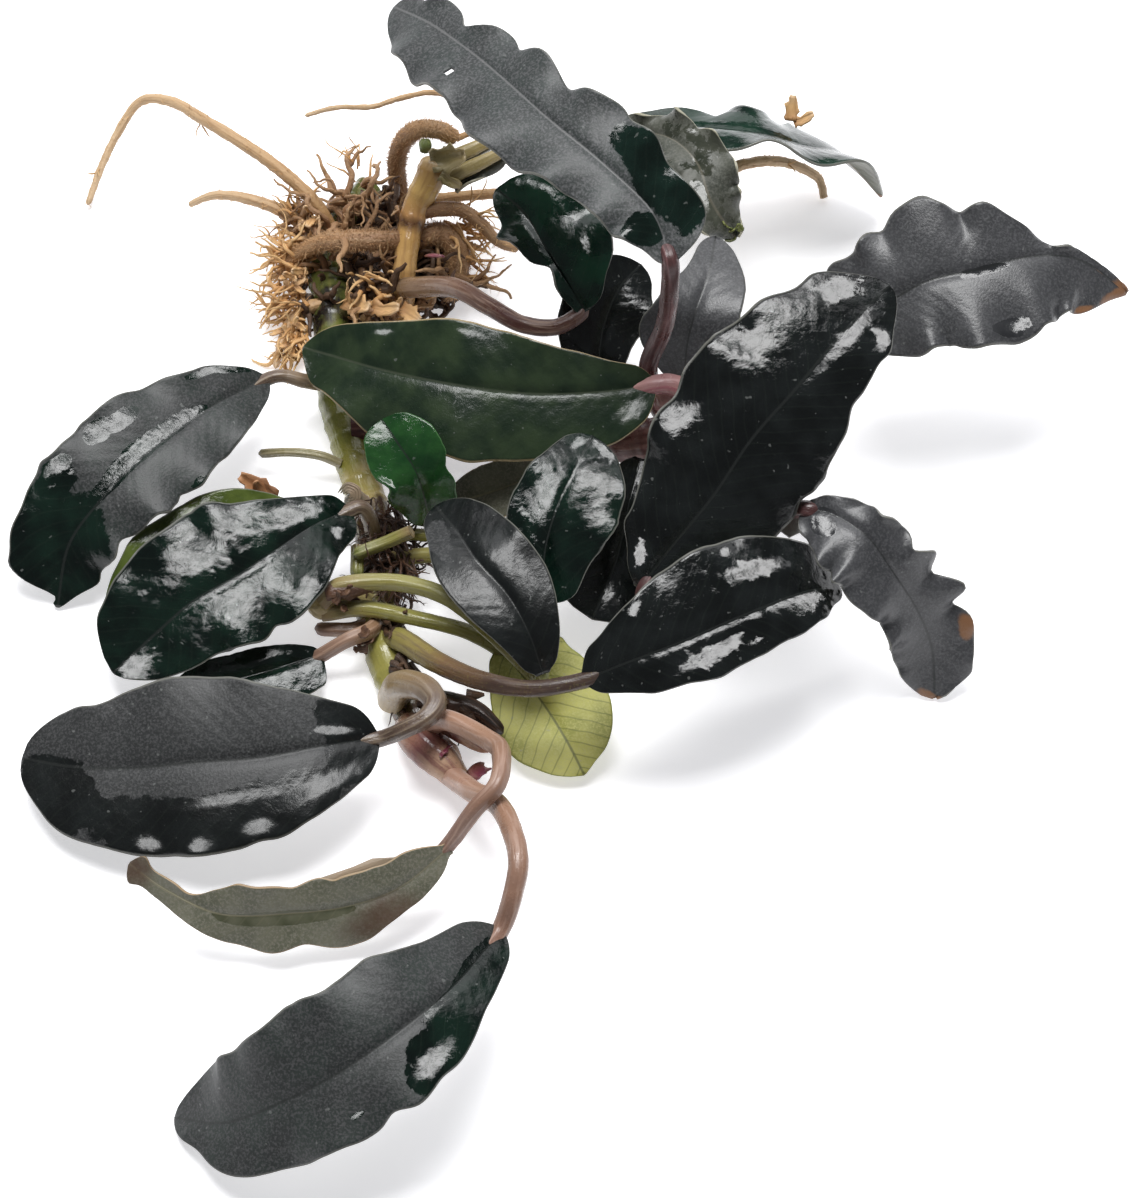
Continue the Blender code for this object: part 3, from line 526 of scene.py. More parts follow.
BLADES = {
    "leaf_crown": Blade(
        midrib=[(36, 7.5, 40), (34, 12.5, 43), (28.5, 18, 45), (21.5, 25.5, 45),
                (14.5, 36, 42), (8, 45.5, 38), (3, 52, 34)],
        right=[2, 3.9, 6, 6.4, 5, 3.6, 2.5],
        left=[2.5, 5.4, 5.6, 7.5, 7.2, 5.8, 2.5],
        colour="black_leaf", waves=7, wave_height=1.1, phase=0.5,
    ),
    "leaf_under_crown": Blade(
        midrib=[(26.2, 18, 17.5), (24.3, 20, 20), (21.5, 24, 22), (19, 28.5, 23), (15.5, 32.5, 23)],
        right=[2, 4.8, 7, 6, 3],
        left=[1, 1.7, 3, 3.2, 1.5],
        colour="deep_green_leaf", waves=3, wave_height=0.6,
    ),
    "leaf_back_right": Blade(
        midrib=[(10, 44, 13.5), (18, 47.5, 15.5), (26.5, 50, 15), (35, 50.5, 14), (41.5, 48, 16),
                (48, 47, 16), (53.5, 46.5, 14), (58.5, 47.5, 11), (63.5, 47, 4)],
        right=[0.9, 0.9, 0.9, 3, 6, 5.5, 6.5, 5, 1.5],
        left=[0.9, 0.9, 0.9, 3, 6, 7, 7.5, 7, 2],
        colour="deep_green_leaf", facing=(TO_BACK, TO_BACK), waves=5, wave_height=0.9,
    ),
    "leaf_curled": Blade(
        midrib=[(10, 41, 13), (18, 44, 16.5), (26, 45.5, 18.5), (33, 44.5, 19.5), (37, 42, 21),
                (40, 38, 21), (41.5, 34, 19), (44.5, 31.5, 15)],
        right=[0.9, 0.9, 0.9, 2, 3.5, 4, 4, 2],
        left=[0.9, 0.9, 0.9, 2, 3.5, 4, 4, 2],
        colour="underside_leaf", waves=5, wave_height=0.8,
    ),
    "leaf_far_right": Blade(
        midrib=[(55.5, 15, 18), (61.5, 16, 21), (67, 17.5, 24), (73, 18.5, 25), (79.5, 20.5, 25),
                (85.5, 21.5, 23), (91.5, 20.5, 18)],
        right=[2.5, 6.6, 8.5, 9.8, 9.8, 6, 1],
        left=[3, 7.5, 10, 7.5, 3.8, 1.2, 1],
        colour="grey_leaf", waves=5, wave_height=1.0,
    ),
    "leaf_centre_tall": Blade(
        midrib=[(32.5, -19, 12), (36, -16.5, 16.5), (41, -12.5, 21.5), (45.5, -7.5, 26),
                (50.5, -3, 29.5), (56, 3.5, 31.5), (62, 11.5, 31)],
        right=[2, 5, 8.5, 9.5, 8, 5.5, 3],
        left=[2, 6, 10, 11.5, 11.5, 8.5, 4],
        colour="black_leaf", fold=2, waves=5, wave_height=0.7,
    ),
    "leaf_right_low": Blade(
        midrib=[(26, -34, 15), (31, -33.5, 18), (37, -31.8, 19.5), (43, -29, 20),
                (48.5, -26, 19.5), (52.5, -22.8, 17), (56, -19.7, 13)],
        right=[1.5, 3.8, 5.5, 5.2, 4.6, 3.6, 2],
        left=[2, 5.4, 8.3, 9.3, 8.8, 7, 4.5],
        colour="black_leaf", fold=4, waves=4, wave_height=0.5,
    ),
    "leaf_right_drooping": Blade(
        midrib=[(51.5, -13, 19.8), (55, -15, 21.3), (59, -18, 21), (62, -20.5, 17.5),
                (65, -22, 12), (67, -23.5, 6), (67.5, -26.5, 0.4)],
        right=[2.5, 5, 6, 6.2, 5, 4.8, 3],
        left=[1, 2.4, 3.8, 4.8, 5.8, 5.2, 2.5],
        colour="grey_leaf", waves=6, wave_height=0.9,
    ),
    "leaf_centre_green": Blade(
        midrib=[(34.5, 5, 20), (28, 4, 20), (19.5, 4.5, 19), (11, 6.5, 18), (2, 11, 15),
                (-4.5, 15.5, 12), (-8, 17.5, 11)],
        right=[2, 4.2, 6.6, 8, 6.6, 4, 1.5],
        left=[3, 7, 8.4, 8.8, 7.2, 3.8, 1.5],
        colour="olive_leaf", waves=4, wave_height=0.5,
    ),
    "leaf_left_upper": Blade(
        midrib=[(-12.5, 15, 8), (-17.5, 9.5, 11), (-22, 5, 12), (-27, 0, 12),
                (-31.5, -4.5, 10), (-35.5, -8.5, 6), (-37, -13.5, 0.4)],
        right=[1.5, 4.4, 6.6, 8.2, 8.2, 7.6, 3],
        left=[1.5, 5, 6.6, 7.2, 6.2, 5.5, 1.5],
        colour="black_leaf", waves=5, wave_height=0.7,
    ),
    "leaf_left_green": Blade(
        midrib=[(-2, -5.5, 9), (-6, -9, 11), (-10.5, -13.5, 12), (-15, -16.5, 11),
                (-20, -19, 9.5), (-24.5, -22, 7), (-29.5, -25.5, 4)],
        right=[2, 4, 7.2, 9.2, 9.2, 8, 3.5],
        left=[3, 5, 8, 8.6, 7.4, 6, 2.5],
        colour="deep_green_leaf", waves=5, wave_height=0.5,
    ),
    "leaf_left_behind": Blade(
        midrib=[(-2.5, -3, 3.5), (-8, -3, 4), (-14, -5.5, 5), (-20, -9, 5), (-25.5, -13.5, 4),
                (-31, -15.5, 2)],
        right=[0.9, 2, 5.6, 6.4, 6, 2],
        left=[0.9, 2, 4, 4, 4, 2],
        colour="olive_leaf", waves=3, wave_height=0.3,
    ),
    "leaf_left_small": Blade(
        midrib=[(-5, -22.5, 3.5), (-9, -24, 3.5), (-14, -25.5, 3.2), (-19, -26.5, 2.5),
                (-24, -28, 1)],
        right=[1, 2.6, 3.1, 2.8, 1],
        left=[3.5, 4.6, 4.6, 4, 1.5],
        colour="deep_green_leaf", waves=2, wave_height=0.2,
    ),
    "leaf_left_broad": Blade(
        midrib=[(2, -38, 9), (-4.5, -40.5, 11), (-11.5, -42, 11), (-19, -42, 10),
                (-26.5, -41.5, 8), (-33.5, -40, 6), (-39.5, -37.5, 4)],
        right=[3, 6.3, 9.2, 10.3, 9.6, 7.5, 4],
        left=[3, 7.2, 10.2, 11.2, 10.2, 8, 4],
        colour="black_leaf", waves=4, wave_height=0.4,
    ),
    "leaf_front_underside": Blade(
        midrib=[(10.5, -53, 9), (5, -57, 7), (-1, -59, 6), (-8, -60, 6), (-15.5, -60, 6),
                (-21.5, -57.5, 7), (-26, -54.5, 8)],
        right=[1, 3.2, 4.2, 3.8, 3.2, 1.5, 1],
        left=[1, 3.5, 4.8, 4.8, 3, 1.6, 1],
        colour="underside_leaf", facing=(AT_VIEWER, AT_VIEWER), waves=4, wave_height=0.5,
    ),
    "leaf_front": Blade(
        midrib=[(16.5, -66, 12), (11.5, -75.5, 16), (5.5, -82, 17), (-1, -86, 15),
                (-7.5, -87.5, 11), (-14, -87, 5.5), (-20, -83.5, 0.4)],
        right=[3, 6.6, 8.8, 9.6, 8.3, 6.4, 2.5],
        left=[2, 5.8, 8, 8, 7.5, 6, 2],
        colour="black_leaf", waves=5, wave_height=0.6,
    ),
    "leaf_young_bright": Blade(
        midrib=[(7.5, -6.5, 8), (7, -6, 13), (6, -4.5, 16), (4, -1.5, 17), (2, 2, 17)],
        right=[1.5, 4, 4.6, 4.4, 2.5],
        left=[1.5, 4, 4.6, 4.4, 2.5],
        colour="bright_green_leaf", waves=2, wave_height=0.3,
    ),
    "leaf_small_black": Blade(
        midrib=[(21.2, -29.8, 10.2), (19.5, -26.5, 14), (17, -22.5, 16), (13.5, -18.5, 17),
                (11, -13.5, 16), (8.5, -8.5, 14)],
        right=[1.5, 4, 5.7, 6.2, 5, 2.5],
        left=[1.5, 3.8, 5.4, 5.2, 3.8, 2],
        colour="black_leaf", waves=2, wave_height=0.2,
    ),
    "leaf_round_glossy": Blade(
        midrib=[(21, -20.5, 11), (21.5, -15, 15), (23, -11, 18), (25, -7, 19.5), (27, -2.2, 19.5)],
        right=[3.5, 6.2, 7.5, 6.5, 2.5],
        left=[2, 5, 5.5, 4.3, 2],
        colour="deep_green_leaf", waves=3, wave_height=0.3,
    ),
    "leaf_yellow": Blade(
        midrib=[(16, -22, 4), (18.5, -25.5, 4), (21.5, -30, 3.5), (24, -34.5, 3), (26, -38.5, 2)],
        right=[1.5, 4.4, 6.8, 6, 2],
        left=[2, 6, 7.4, 6.3, 2],
        colour="yellow_leaf", waves=3, wave_height=0.2,
    ),
    "leaf_dark_lower": Blade(
        midrib=[(32.8, 0, 12), (31.5, -5.5, 11.5), (30.5, -10, 9.5), (29, -14.5, 7.5),
                (27, -19.5, 6.5)],
        right=[1.5, 4, 5, 5.5, 4.5],
        left=[1.5, 3.5, 5, 6, 4],
        colour="black_leaf", waves=2, wave_height=0.3,
    ),
    "leaf_dark_back": Blade(
        midrib=[(27.8, 9.4, 9.8), (28, 16.5, 12.5), (29, 21, 13.5), (30.5, 24.5, 14), (33, 28, 14)],
        right=[1.5, 4, 5, 4.5, 2],
        left=[1.5, 5, 6, 5, 2],
        colour="black_leaf", waves=2, wave_height=0.3,
    ),
    "leaf_grey_back": Blade(
        midrib=[(38, 10, 13.5), (38.5, 14, 16.5), (39.5, 17, 19), (41, 21.5, 20), (42, 27.5, 20)],
        right=[1.5, 5, 5.6, 4.6, 1.5],
        left=[1.5, 6, 5, 3, 1.5],
        colour="grey_leaf", waves=2, wave_height=0.3,
    ),
    "leaf_brown_gap": Blade(
        midrib=[(23, 5, 7.5), (22.5, 1.5, 9), (19.5, -0.5, 9), (16, -1.5, 8), (12.5, -1.5, 6),
                (9.5, -1.5, 4)],
        right=[0.9, 1.5, 3, 3.5, 3, 1.5],
        left=[0.9, 1.5, 3, 3.5, 3, 1.5],
        colour="underside_leaf", waves=2, wave_height=0.2,
    ),
}

# %% [markdown]
# ## What each leaf went through
#
# The solids are too coarse for scallops in the outline and for quilting between the veins.
# They also say nothing of the wet film, brown patches and holes. These are noted leaf by leaf,
# as (share of length, share of width, reach along the leaf in mm, reach across it in mm). The
# share of width is negative on the left. The film is how wet the whole leaf is, from 0, dry
# and grey with meal and a painted sheen, to 1, wet and dark. A glint is a place where the film
# stands thicker on one side, so that its slope mirrors the window. Turned is how far the whole
# film slopes, east and north, and torn is how ragged the edges of the glints are. Lobes and bays
# of the margin are (share of length, mm outwards, share of length they spread).

# %% Notes on each leaf
@dataclass
class Surface:
    """How one leaf's skin and margin differ from the plain ones."""

    film: float = 0.0
    wet: tuple = ()
    dry: tuple = ()
    glints: tuple = ()
    turned: tuple = (0.0, 0.0)
    torn: float = 1.0
    brown: tuple = ()
    holes: tuple = ()
    right_lobes: tuple = ()
    left_lobes: tuple = ()
    scallops: float = 0.10
    quilting: float = 0.012
    frill: float = 0.0
    skin: str = ""


SURFACES = {
    "leaf_crown": Surface(
        turned=(0.0, -0.32), wet=((0.22, 0.62, 10.5, 3.6), (0.13, -0.45, 4.6, 3.2)),
        holes=((0.70, -0.55, 0.4, 0.3),),
        right_lobes=((0.12, 2.4, 0.08), (0.29, 0.9, 0.05), (0.40, 0.4, 0.03), (0.51, -1.8, 0.05),
                     (0.64, -1.1, 0.03), (0.76, -2.2, 0.035), (0.84, 0.2, 0.02),
                     (0.90, -1.0, 0.025)),
        left_lobes=((0.05, -1.0, 0.04), (0.56, 0.7, 0.03), (0.66, -0.6, 0.02), (0.76, 0.9, 0.035),
                    (0.86, 0.5, 0.03)),
        scallops=0.12, skin="crown_leaf"),
    "leaf_under_crown": Surface(
        film=0.95, glints=((0.62, -0.45, 1.6, 1.1), (0.78, 0.70, 3.2, 0.7), (0.40, 0.55, 1.0, 0.6)),
        right_lobes=((0.38, 1.8, 0.20),),
        left_lobes=((0.40, -1.7, 0.08), (0.70, 1.4, 0.06)), scallops=0.15),
    "leaf_back_right": Surface(
        film=0.80, wet=((0.55, 0.40, 14.0, 2.4),), dry=((0.45, -0.55, 12.0, 3.0),),
        brown=((1.0, -0.9, 1.5, 1.5),),
        left_lobes=((0.38, -1.2, 0.04), (0.60, -1.0, 0.03), (0.68, 0.8, 0.03), (0.82, 1.6, 0.06)),
        right_lobes=((0.60, 0.5, 0.03), (0.72, -0.6, 0.03), (0.86, 1.2, 0.06)), scallops=0.15),
    "leaf_curled": Surface(
        film=0.25, turned=(0.05, -0.30),
        holes=((0.83, 0.85, 1.2, 1.0),), glints=((0.84, 0.30, 3.2, 1.3),), frill=1.1,
        brown=((0.30, 0.30, 5.0, 2.5),),
        right_lobes=((0.55, 0.7, 0.03), (0.66, -0.6, 0.03), (0.76, 0.7, 0.03)),
        left_lobes=((0.50, 0.6, 0.03), (0.62, -0.6, 0.03), (0.72, 0.6, 0.03)),
        scallops=0.35, skin="curled_leaf"),
    "leaf_far_right": Surface(
        wet=((0.54, 0.80, 2.4, 1.2), (0.52, 0.05, 3.6, 0.7)),
        glints=((0.56, 0.80, 1.9, 0.8), (0.52, 0.04, 3.4, 0.5)), frill=0.35,
        brown=((0.99, 0.8, 2.6, 2.2), (0.90, 0.95, 1.6, 1.2)),
        right_lobes=((0.22, 0.7, 0.04), (0.45, 0.3, 0.03), (0.68, -0.9, 0.06), (0.90, 2.0, 0.06)),
        left_lobes=((0.06, 2.4, 0.06), (0.28, -1.5, 0.03), (0.38, 0.6, 0.03), (0.58, 2.0, 0.05),
                    (0.74, -1.2, 0.05))),
    "leaf_centre_tall": Surface(
        film=1.0, turned=(0.06, -0.16),
        glints=((0.70, -0.68, 3.2, 2.2), (0.84, 0.14, 6.0, 1.0), (0.92, -0.55, 1.9, 1.5),
                (0.89, 0.75, 1.2, 1.1), (0.43, -0.75, 2.9, 1.2), (0.10, -0.50, 2.2, 0.9)),
        right_lobes=((0.44, -0.7, 0.03), (0.58, -0.3, 0.03), (0.72, -0.9, 0.04), (0.88, 0.8, 0.03)),
        left_lobes=((0.14, 0.8, 0.04), (0.48, -0.8, 0.03), (0.80, 0.6, 0.04), (0.92, 1.2, 0.04))),
    "leaf_right_low": Surface(
        film=1.0, turned=(0.05, -0.17),
        glints=((0.77, 0.24, 4.6, 1.7), (0.66, -0.50, 4.6, 1.1), (0.41, 0.55, 3.4, 1.1),
                (0.58, -0.85, 0.8, 0.6), (0.24, -0.85, 1.0, 0.7)),
        right_lobes=((0.32, -0.5, 0.06), (0.92, -0.7, 0.05)), left_lobes=((0.05, 0.3, 0.04),)),
    "leaf_right_drooping": Surface(
        wet=((0.14, 0.35, 3.4, 1.8),), glints=((0.15, 0.35, 2.6, 1.2),), frill=0.4,
        brown=((0.79, -0.85, 1.6, 1.4), (1.0, 0.6, 1.8, 1.4)),
        right_lobes=((0.25, 0.8, 0.04), (0.36, 1.0, 0.03), (0.60, -0.7, 0.05), (0.72, 0.4, 0.03)),
        left_lobes=((0.32, -0.9, 0.025), (0.46, -1.2, 0.03), (0.53, 0.5, 0.02), (0.60, -1.5, 0.025),
                    (0.66, 0.5, 0.02), (0.72, -1.4, 0.03), (0.92, 0.6, 0.03))),
    "leaf_centre_green": Surface(
        film=1.0, turned=(0.04, -0.24), torn=0.5,
        glints=((0.30, -0.08, 11.0, 0.8), (0.09, -0.55, 2.2, 1.1), (0.50, 0.82, 1.6, 0.4),
                (0.70, 0.75, 1.3, 0.4)),
        left_lobes=((0.44, 0.6, 0.04), (0.64, 0.7, 0.04), (0.86, 0.8, 0.06))),
    "leaf_left_upper": Surface(
        wet=((0.86, 0.10, 8.5, 9.0), (0.74, 0.66, 5.0, 3.0), (0.42, -0.97, 1.3, 0.9),
             (0.48, 0.08, 12.5, 1.5)),
        glints=((0.46, 0.64, 2.6, 1.4), (0.53, 0.74, 2.4, 1.6), (0.67, 0.80, 2.0, 1.2),
                (0.46, 0.10, 10.5, 0.8), (0.14, 0.84, 5.0, 0.7)),
        right_lobes=((0.14, 0.8, 0.06), (0.58, -0.4, 0.03), (0.70, 0.5, 0.03), (0.81, -0.6, 0.03),
                     (0.91, 0.9, 0.025), (0.97, -2.2, 0.02)),
        left_lobes=((0.42, 0.5, 0.03), (0.49, -0.5, 0.02), (0.56, 0.6, 0.02), (0.72, -0.8, 0.03),
                    (0.92, 1.0, 0.03)), skin="green_black_leaf"),
    "leaf_left_green": Surface(
        film=1.0, glints=((0.23, 0.50, 4.6, 1.4), (0.43, 0.78, 1.2, 1.1), (0.58, 0.46, 5.6, 2.4),
                          (0.50, -0.40, 7.2, 2.4), (0.33, -0.82, 1.5, 1.2),
                          (0.94, -0.35, 2.2, 1.7), (0.11, -0.50, 1.0, 0.8),
                          (0.44, -0.09, 9.0, 0.5)),
        right_lobes=((0.45, 0.8, 0.10), (0.94, 0.9, 0.05)), left_lobes=((0.48, -0.8, 0.03),),
        skin="green_black_leaf"),
    "leaf_left_behind": Surface(
        film=0.8, glints=((0.55, 0.80, 1.4, 0.8),), skin="light_green_leaf"),
    "leaf_left_small": Surface(
        film=1.0, glints=((0.20, -0.30, 3.2, 1.1), (0.41, 0.65, 4.6, 0.5), (0.34, -0.70, 2.2, 0.6)),
        skin="green_black_leaf"),
    "leaf_left_broad": Surface(
        wet=((0.45, -0.75, 19.0, 5.6), (0.86, -0.55, 7.0, 5.6), (0.05, -0.30, 6.0, 5.0),
             (0.07, 0.55, 5.0, 4.6)), torn=0.3,
        glints=((0.19, -0.62, 5.4, 1.0), (0.40, -0.45, 5.8, 0.6), (0.62, -0.86, 1.3, 0.9),
                (0.49, -0.90, 1.5, 1.0), (0.35, -0.82, 1.4, 0.9), (0.12, 0.30, 2.6, 0.5)),
        right_lobes=((0.76, -0.8, 0.07),), left_lobes=((0.35, -0.5, 0.03), (0.92, -1.1, 0.06)),
        skin="satin_leaf"),
    "leaf_front_underside": Surface(
        brown=((0.26, -0.60, 6.5, 3.4), (0.22, -0.85, 5.0, 2.6), (0.97, 0.0, 4.5, 4.0)),
        dry=((0.5, 0.8, 18.0, 2.0),),
        wet=((0.50, -0.10, 9.0, 1.1),), turned=(0.0, -0.25),
        right_lobes=((0.10, 0.9, 0.06), (0.36, -0.5, 0.03), (0.48, -0.5, 0.03), (0.62, 0.8, 0.04),
                     (0.76, -1.1, 0.05), (0.965, 1.1, 0.03)),
        left_lobes=((0.20, -1.0, 0.09), (0.46, -1.3, 0.05), (0.56, 0.4, 0.03),
                    (0.965, 1.0, 0.03))),
    "leaf_front": Surface(
        turned=(0.10, -0.16), wet=((0.17, -0.60, 10.0, 4.8), (0.33, -0.70, 3.8, 4.0),
                                   (0.10, 0.0, 5.0, 1.4)),
        torn=0.4, glints=((0.31, -0.70, 2.9, 1.3), (0.51, -0.65, 1.0, 0.45)),
        right_lobes=((0.28, 0.4, 0.04), (0.43, -0.9, 0.05), (0.80, 0.6, 0.04), (0.90, 1.8, 0.06)),
        left_lobes=((0.16, -1.2, 0.09), (0.32, -0.6, 0.05), (0.44, -0.9, 0.03), (0.90, -1.4, 0.05)),
        skin="green_black_leaf"),
    "leaf_young_bright": Surface(
        film=0.9, turned=(0.05, -0.34), glints=((0.46, -0.85, 1.6, 0.4),),
        right_lobes=((0.42, -1.1, 0.08), (0.15, 0.5, 0.06)), left_lobes=((0.44, -0.6, 0.08),),
        scallops=0.12),
    "leaf_small_black": Surface(
        film=0.95, dry=((0.80, -0.60, 5.0, 2.5),),
        torn=0.4, glints=((0.50, -0.45, 3.9, 1.6), (0.54, 0.50, 3.6, 1.5)), scallops=0.03,
        skin="satin_leaf"),
    "leaf_round_glossy": Surface(
        film=1.0, glints=((0.50, -0.35, 4.2, 1.8), (0.53, 0.65, 3.6, 1.2), (0.93, 0.60, 1.0, 0.8),
                          (0.92, -0.40, 1.2, 0.6), (0.74, 0.80, 0.9, 0.7)),
        skin="green_black_leaf"),
    "leaf_yellow": Surface(
        quilting=0.03, left_lobes=((0.22, 0.8, 0.06), (0.96, -0.5, 0.04)),
        scallops=0.05),
    "leaf_dark_lower": Surface(film=1.0, turned=(0.12, -0.25), glints=((0.83, -0.10, 1.1, 0.6),)),
    "leaf_dark_back": Surface(film=1.0, turned=(0.05, -0.35)),
    "leaf_grey_back": Surface(),
    "leaf_brown_gap": Surface(),
}

print("leaves:", len(BLADES))

# %% [markdown]
# ## The outline of a leaf
#
# The margin of such a leaf is wavy and a little nibbled. Its distance from the midrib is read
# from the noted half-widths, then small scallops, a crinkle and the noted lobes are added. Both
# ends close like a quarter circle.

# %% The outline of a leaf
BASE_ROUNDING = 0.06
TIP_ROUNDING = 0.1
BASE_HALF_WIDTH = 0.8
TIP_HALF_WIDTH = 0.25
LEFT_WAVE_LEAD = 2.0


def end_rounding(along):
    """Close the outline like a quarter circle at the stalk and at the tip."""
    from_base = min(along / BASE_ROUNDING, 1.0)
    from_tip = min((1 - along) / TIP_ROUNDING, 1.0)
    return math.sqrt(from_base * (2 - from_base)) * math.sqrt(from_tip * (2 - from_tip))


def half_width(blade, surface, along, side):
    """The distance from midrib to margin in mm, scallops included; side is 1 right, -1 left."""
    stations = blade.right if side > 0 else blade.left
    width = catmull_rom(stations, along) * end_rounding(along)
    lead = blade.phase + (0.0 if side > 0 else LEFT_WAVE_LEAD)
    scallop = math.sin(math.tau * (blade.waves * along * 1.5) + lead) * min(1.0, width / 4)
    crinkle = noise.noise(Vector((along * 26, side * 3.1, len(stations) + blade.phase)))
    width += surface.scallops * (scallop + 0.9 * crinkle) * math.sin(math.pi * along)
    lobes = surface.right_lobes if side > 0 else surface.left_lobes
    for middle, swell, spread in lobes:
        width += swell * math.exp(-(((along - middle) / spread) ** 2))
    narrowest = BASE_HALF_WIDTH + (TIP_HALF_WIDTH - BASE_HALF_WIDTH) * along
    return max(width, narrowest)


crown_notes = BLADES["leaf_crown"], SURFACES["leaf_crown"]
print("crown leaf, half-width in the middle:", round(half_width(*crown_notes, 0.5, 1), 1), "mm")

# %% [markdown]
# ## The water film
#
# Water lies on a leaf in patches, a little thicker on one side, so each patch leans its own
# way and mirrors something else. Painting the reflections would only work from one side. Here
# each point keeps the lean of its film instead. At a noted glint, the lean is the one that
# mirrors the window to the camera. It is worked out once, from the places of both.

# %% The water film
DIRECTION_STEP = 0.01
LEAST_LEAN = 0.85
GLINT_EDGE = 1.55
GLINT_RISE = 1.5
TEARS = ((0.75, 0.55), (1.9, 0.45))


def layered_noise(place, layers):
    """Add up noise of several kinds, each (how close its lumps lie, how strong it is)."""
    return sum(noise.noise(place * closeness) * strength for closeness, strength in layers)


def patch_value(patches, along, across, length, width):
    """How deep a place lies in the nearest patch, 1 at its middle and 0 outside."""
    deepest = 0.0
    for patch_along, patch_across, reach_along, reach_across in patches:
        off_along = (along - patch_along) * length / reach_along
        off_across = (across - patch_across) * width / reach_across
        deepest = max(deepest, 1.0 - off_along ** 2 - off_across ** 2)
    return deepest


def glint_leans(surface, place_on, outward_at):
    """For each glint, which way and how far the film must lean to mirror the window."""
    leans = []
    for along, across, _, _ in surface.glints:
        spot = place_on(along, across)
        forward = (place_on(along + DIRECTION_STEP, across) - spot).normalized()
        sideways = (place_on(along, across + DIRECTION_STEP) - spot).normalized()
        up = forward.cross(sideways).normalized()
        if up.dot(outward_at(along)) < 0:
            up = -up
        to_camera = (camera.location - spot * MM).normalized()
        to_window = (Vector(WINDOW_PLACE) - spot * MM).normalized()
        mirror = (to_camera + to_window).normalized()
        leans.append(mirror / max(mirror.dot(up), LEAST_LEAN) - up)
    return leans


def film_lean(surface, leans, along, across, length, width):
    """Which way and how far the film leans at a place; the edges of a glint are torn."""
    lean = Vector((*surface.turned, 0.0))
    spot = Vector((along * length, across * width, 0.0))
    tear = 1.0 + surface.torn * layered_noise(spot, TEARS)
    for (glint_along, glint_across, reach_along, reach_across), glint_lean in zip(
            surface.glints, leans):
        apart = math.hypot((along - glint_along) * length / reach_along,
                           (across - glint_across) * width / reach_across) / GLINT_EDGE
        apart *= tear
        if apart < 1.0:
            lean = lean.lerp(glint_lean, min(1.0, GLINT_RISE * (1.0 - apart ** 2) ** 2))
    return lean


print("glints noted:", sum(len(surface.glints) for surface in SURFACES.values()))

# %% [markdown]
# ## The bend of a leaf
#
# A leaf is a sheet bent in space. It could be sculpted, but then its outline and its place
# would be hard to keep. Here each point is given by how far along the midrib and how far across
# it lies. The midrib's curve, its sideways direction and the half-width there give the point in
# space. Waves grow towards the margin, the quilting follows the side veins, and a groove runs
# down the middle.

# %% The bend of a leaf
GROOVE_DEPTH = 0.36
GROOVE_HALF_WIDTH = 0.6
FRILL_WAVES = 9
DIMPLES = ((0.17, 0.26), (0.7, 0.05))


def sheet_point(blade, surface, ribs, along, across, length):
    """A point of the leaf in mm, its width there, and its distance from the midrib."""
    centre, sideways, outward, widths = ribs
    side = 1 if across > 0 else -1
    width = widths[side]
    reach = abs(across)
    tilt = math.radians(blade.fold)
    lead = blade.phase + (0.0 if across > 0 else LEFT_WAVE_LEAD)
    wave = math.sin(math.tau * blade.waves * along + lead) * math.sin(math.pi * along)
    rise = (
        width * reach * math.sin(tilt)
        - blade.droop * (width * reach) ** 2
        + blade.wave_height * reach ** 2 * wave
        + surface.frill * reach ** 4 * math.sin(math.tau * FRILL_WAVES * along + lead)
    )
    off_rib = width * reach
    climb = along * length - off_rib * VEIN_SLANT
    quilt = math.cos(math.tau * climb / VEIN_STEP) * math.sin(math.pi * min(reach * 1.08, 1.0))
    rise -= surface.quilting * quilt
    rise -= GROOVE_DEPTH * math.exp(-((off_rib / GROOVE_HALF_WIDTH) ** 2)) * math.sin(
        math.pi * min(along * 1.1 + 0.1, 1.0))
    place = centre + sideways * across * width * math.cos(tilt)
    return place + outward * (rise + layered_noise(place, DIMPLES) * reach), width, off_rib


def leaf_frame(blade, surface, midrib, along):
    """The midrib point, the sideways and outward directions, and both half-widths there."""
    ahead = catmull_rom(midrib, min(along + DIRECTION_STEP, 1.0))
    behind = catmull_rom(midrib, max(along - DIRECTION_STEP, 0.0))
    forward = (ahead - behind).normalized()
    facing = Vector(blade.facing[0]).lerp(Vector(blade.facing[1]), along)
    sideways = forward.cross(facing).normalized()
    outward = sideways.cross(forward)
    widths = {side: half_width(blade, surface, along, side) for side in (1, -1)}
    return catmull_rom(midrib, along), sideways, outward, widths


print("groove along each midrib:", GROOVE_DEPTH, "mm deep")

# %% [markdown]
# ## Growing the leaves
#
# A flat grid is bent point by point, and each point keeps its place on the leaf, how wet and
# how brown it is, and how its film leans. Points inside a noted hole are taken out. A Solidify
# modifier then turns the sheet into a closed leaf, thick at the midrib and thin at the margin,
# with its own finish on the underside.

# %% Grow the leaves
ROW_STEP = 0.42
COLUMNS = 34
LEAF_THICKNESS = 0.75
MARGIN_SHARE = 0.28
TABLE_CLEARANCE = 0.05
GLINT_WETNESS = 1.2
SAME_SKIN_BELOW = ("yellow_leaf", "underside_leaf")


def with_thickness(name, sheet, thickness):
    """Turn a sheet into an object with a thickness in mm, half of it on each side."""
    mesh = bpy.data.meshes.new(name)
    sheet.to_mesh(mesh)
    sheet.free()
    thing = put_in_scene(name, mesh)
    shell = thing.modifiers.new("thickness", "SOLIDIFY")
    shell.thickness = thickness * MM
    shell.offset = 0.0
    return thing, shell


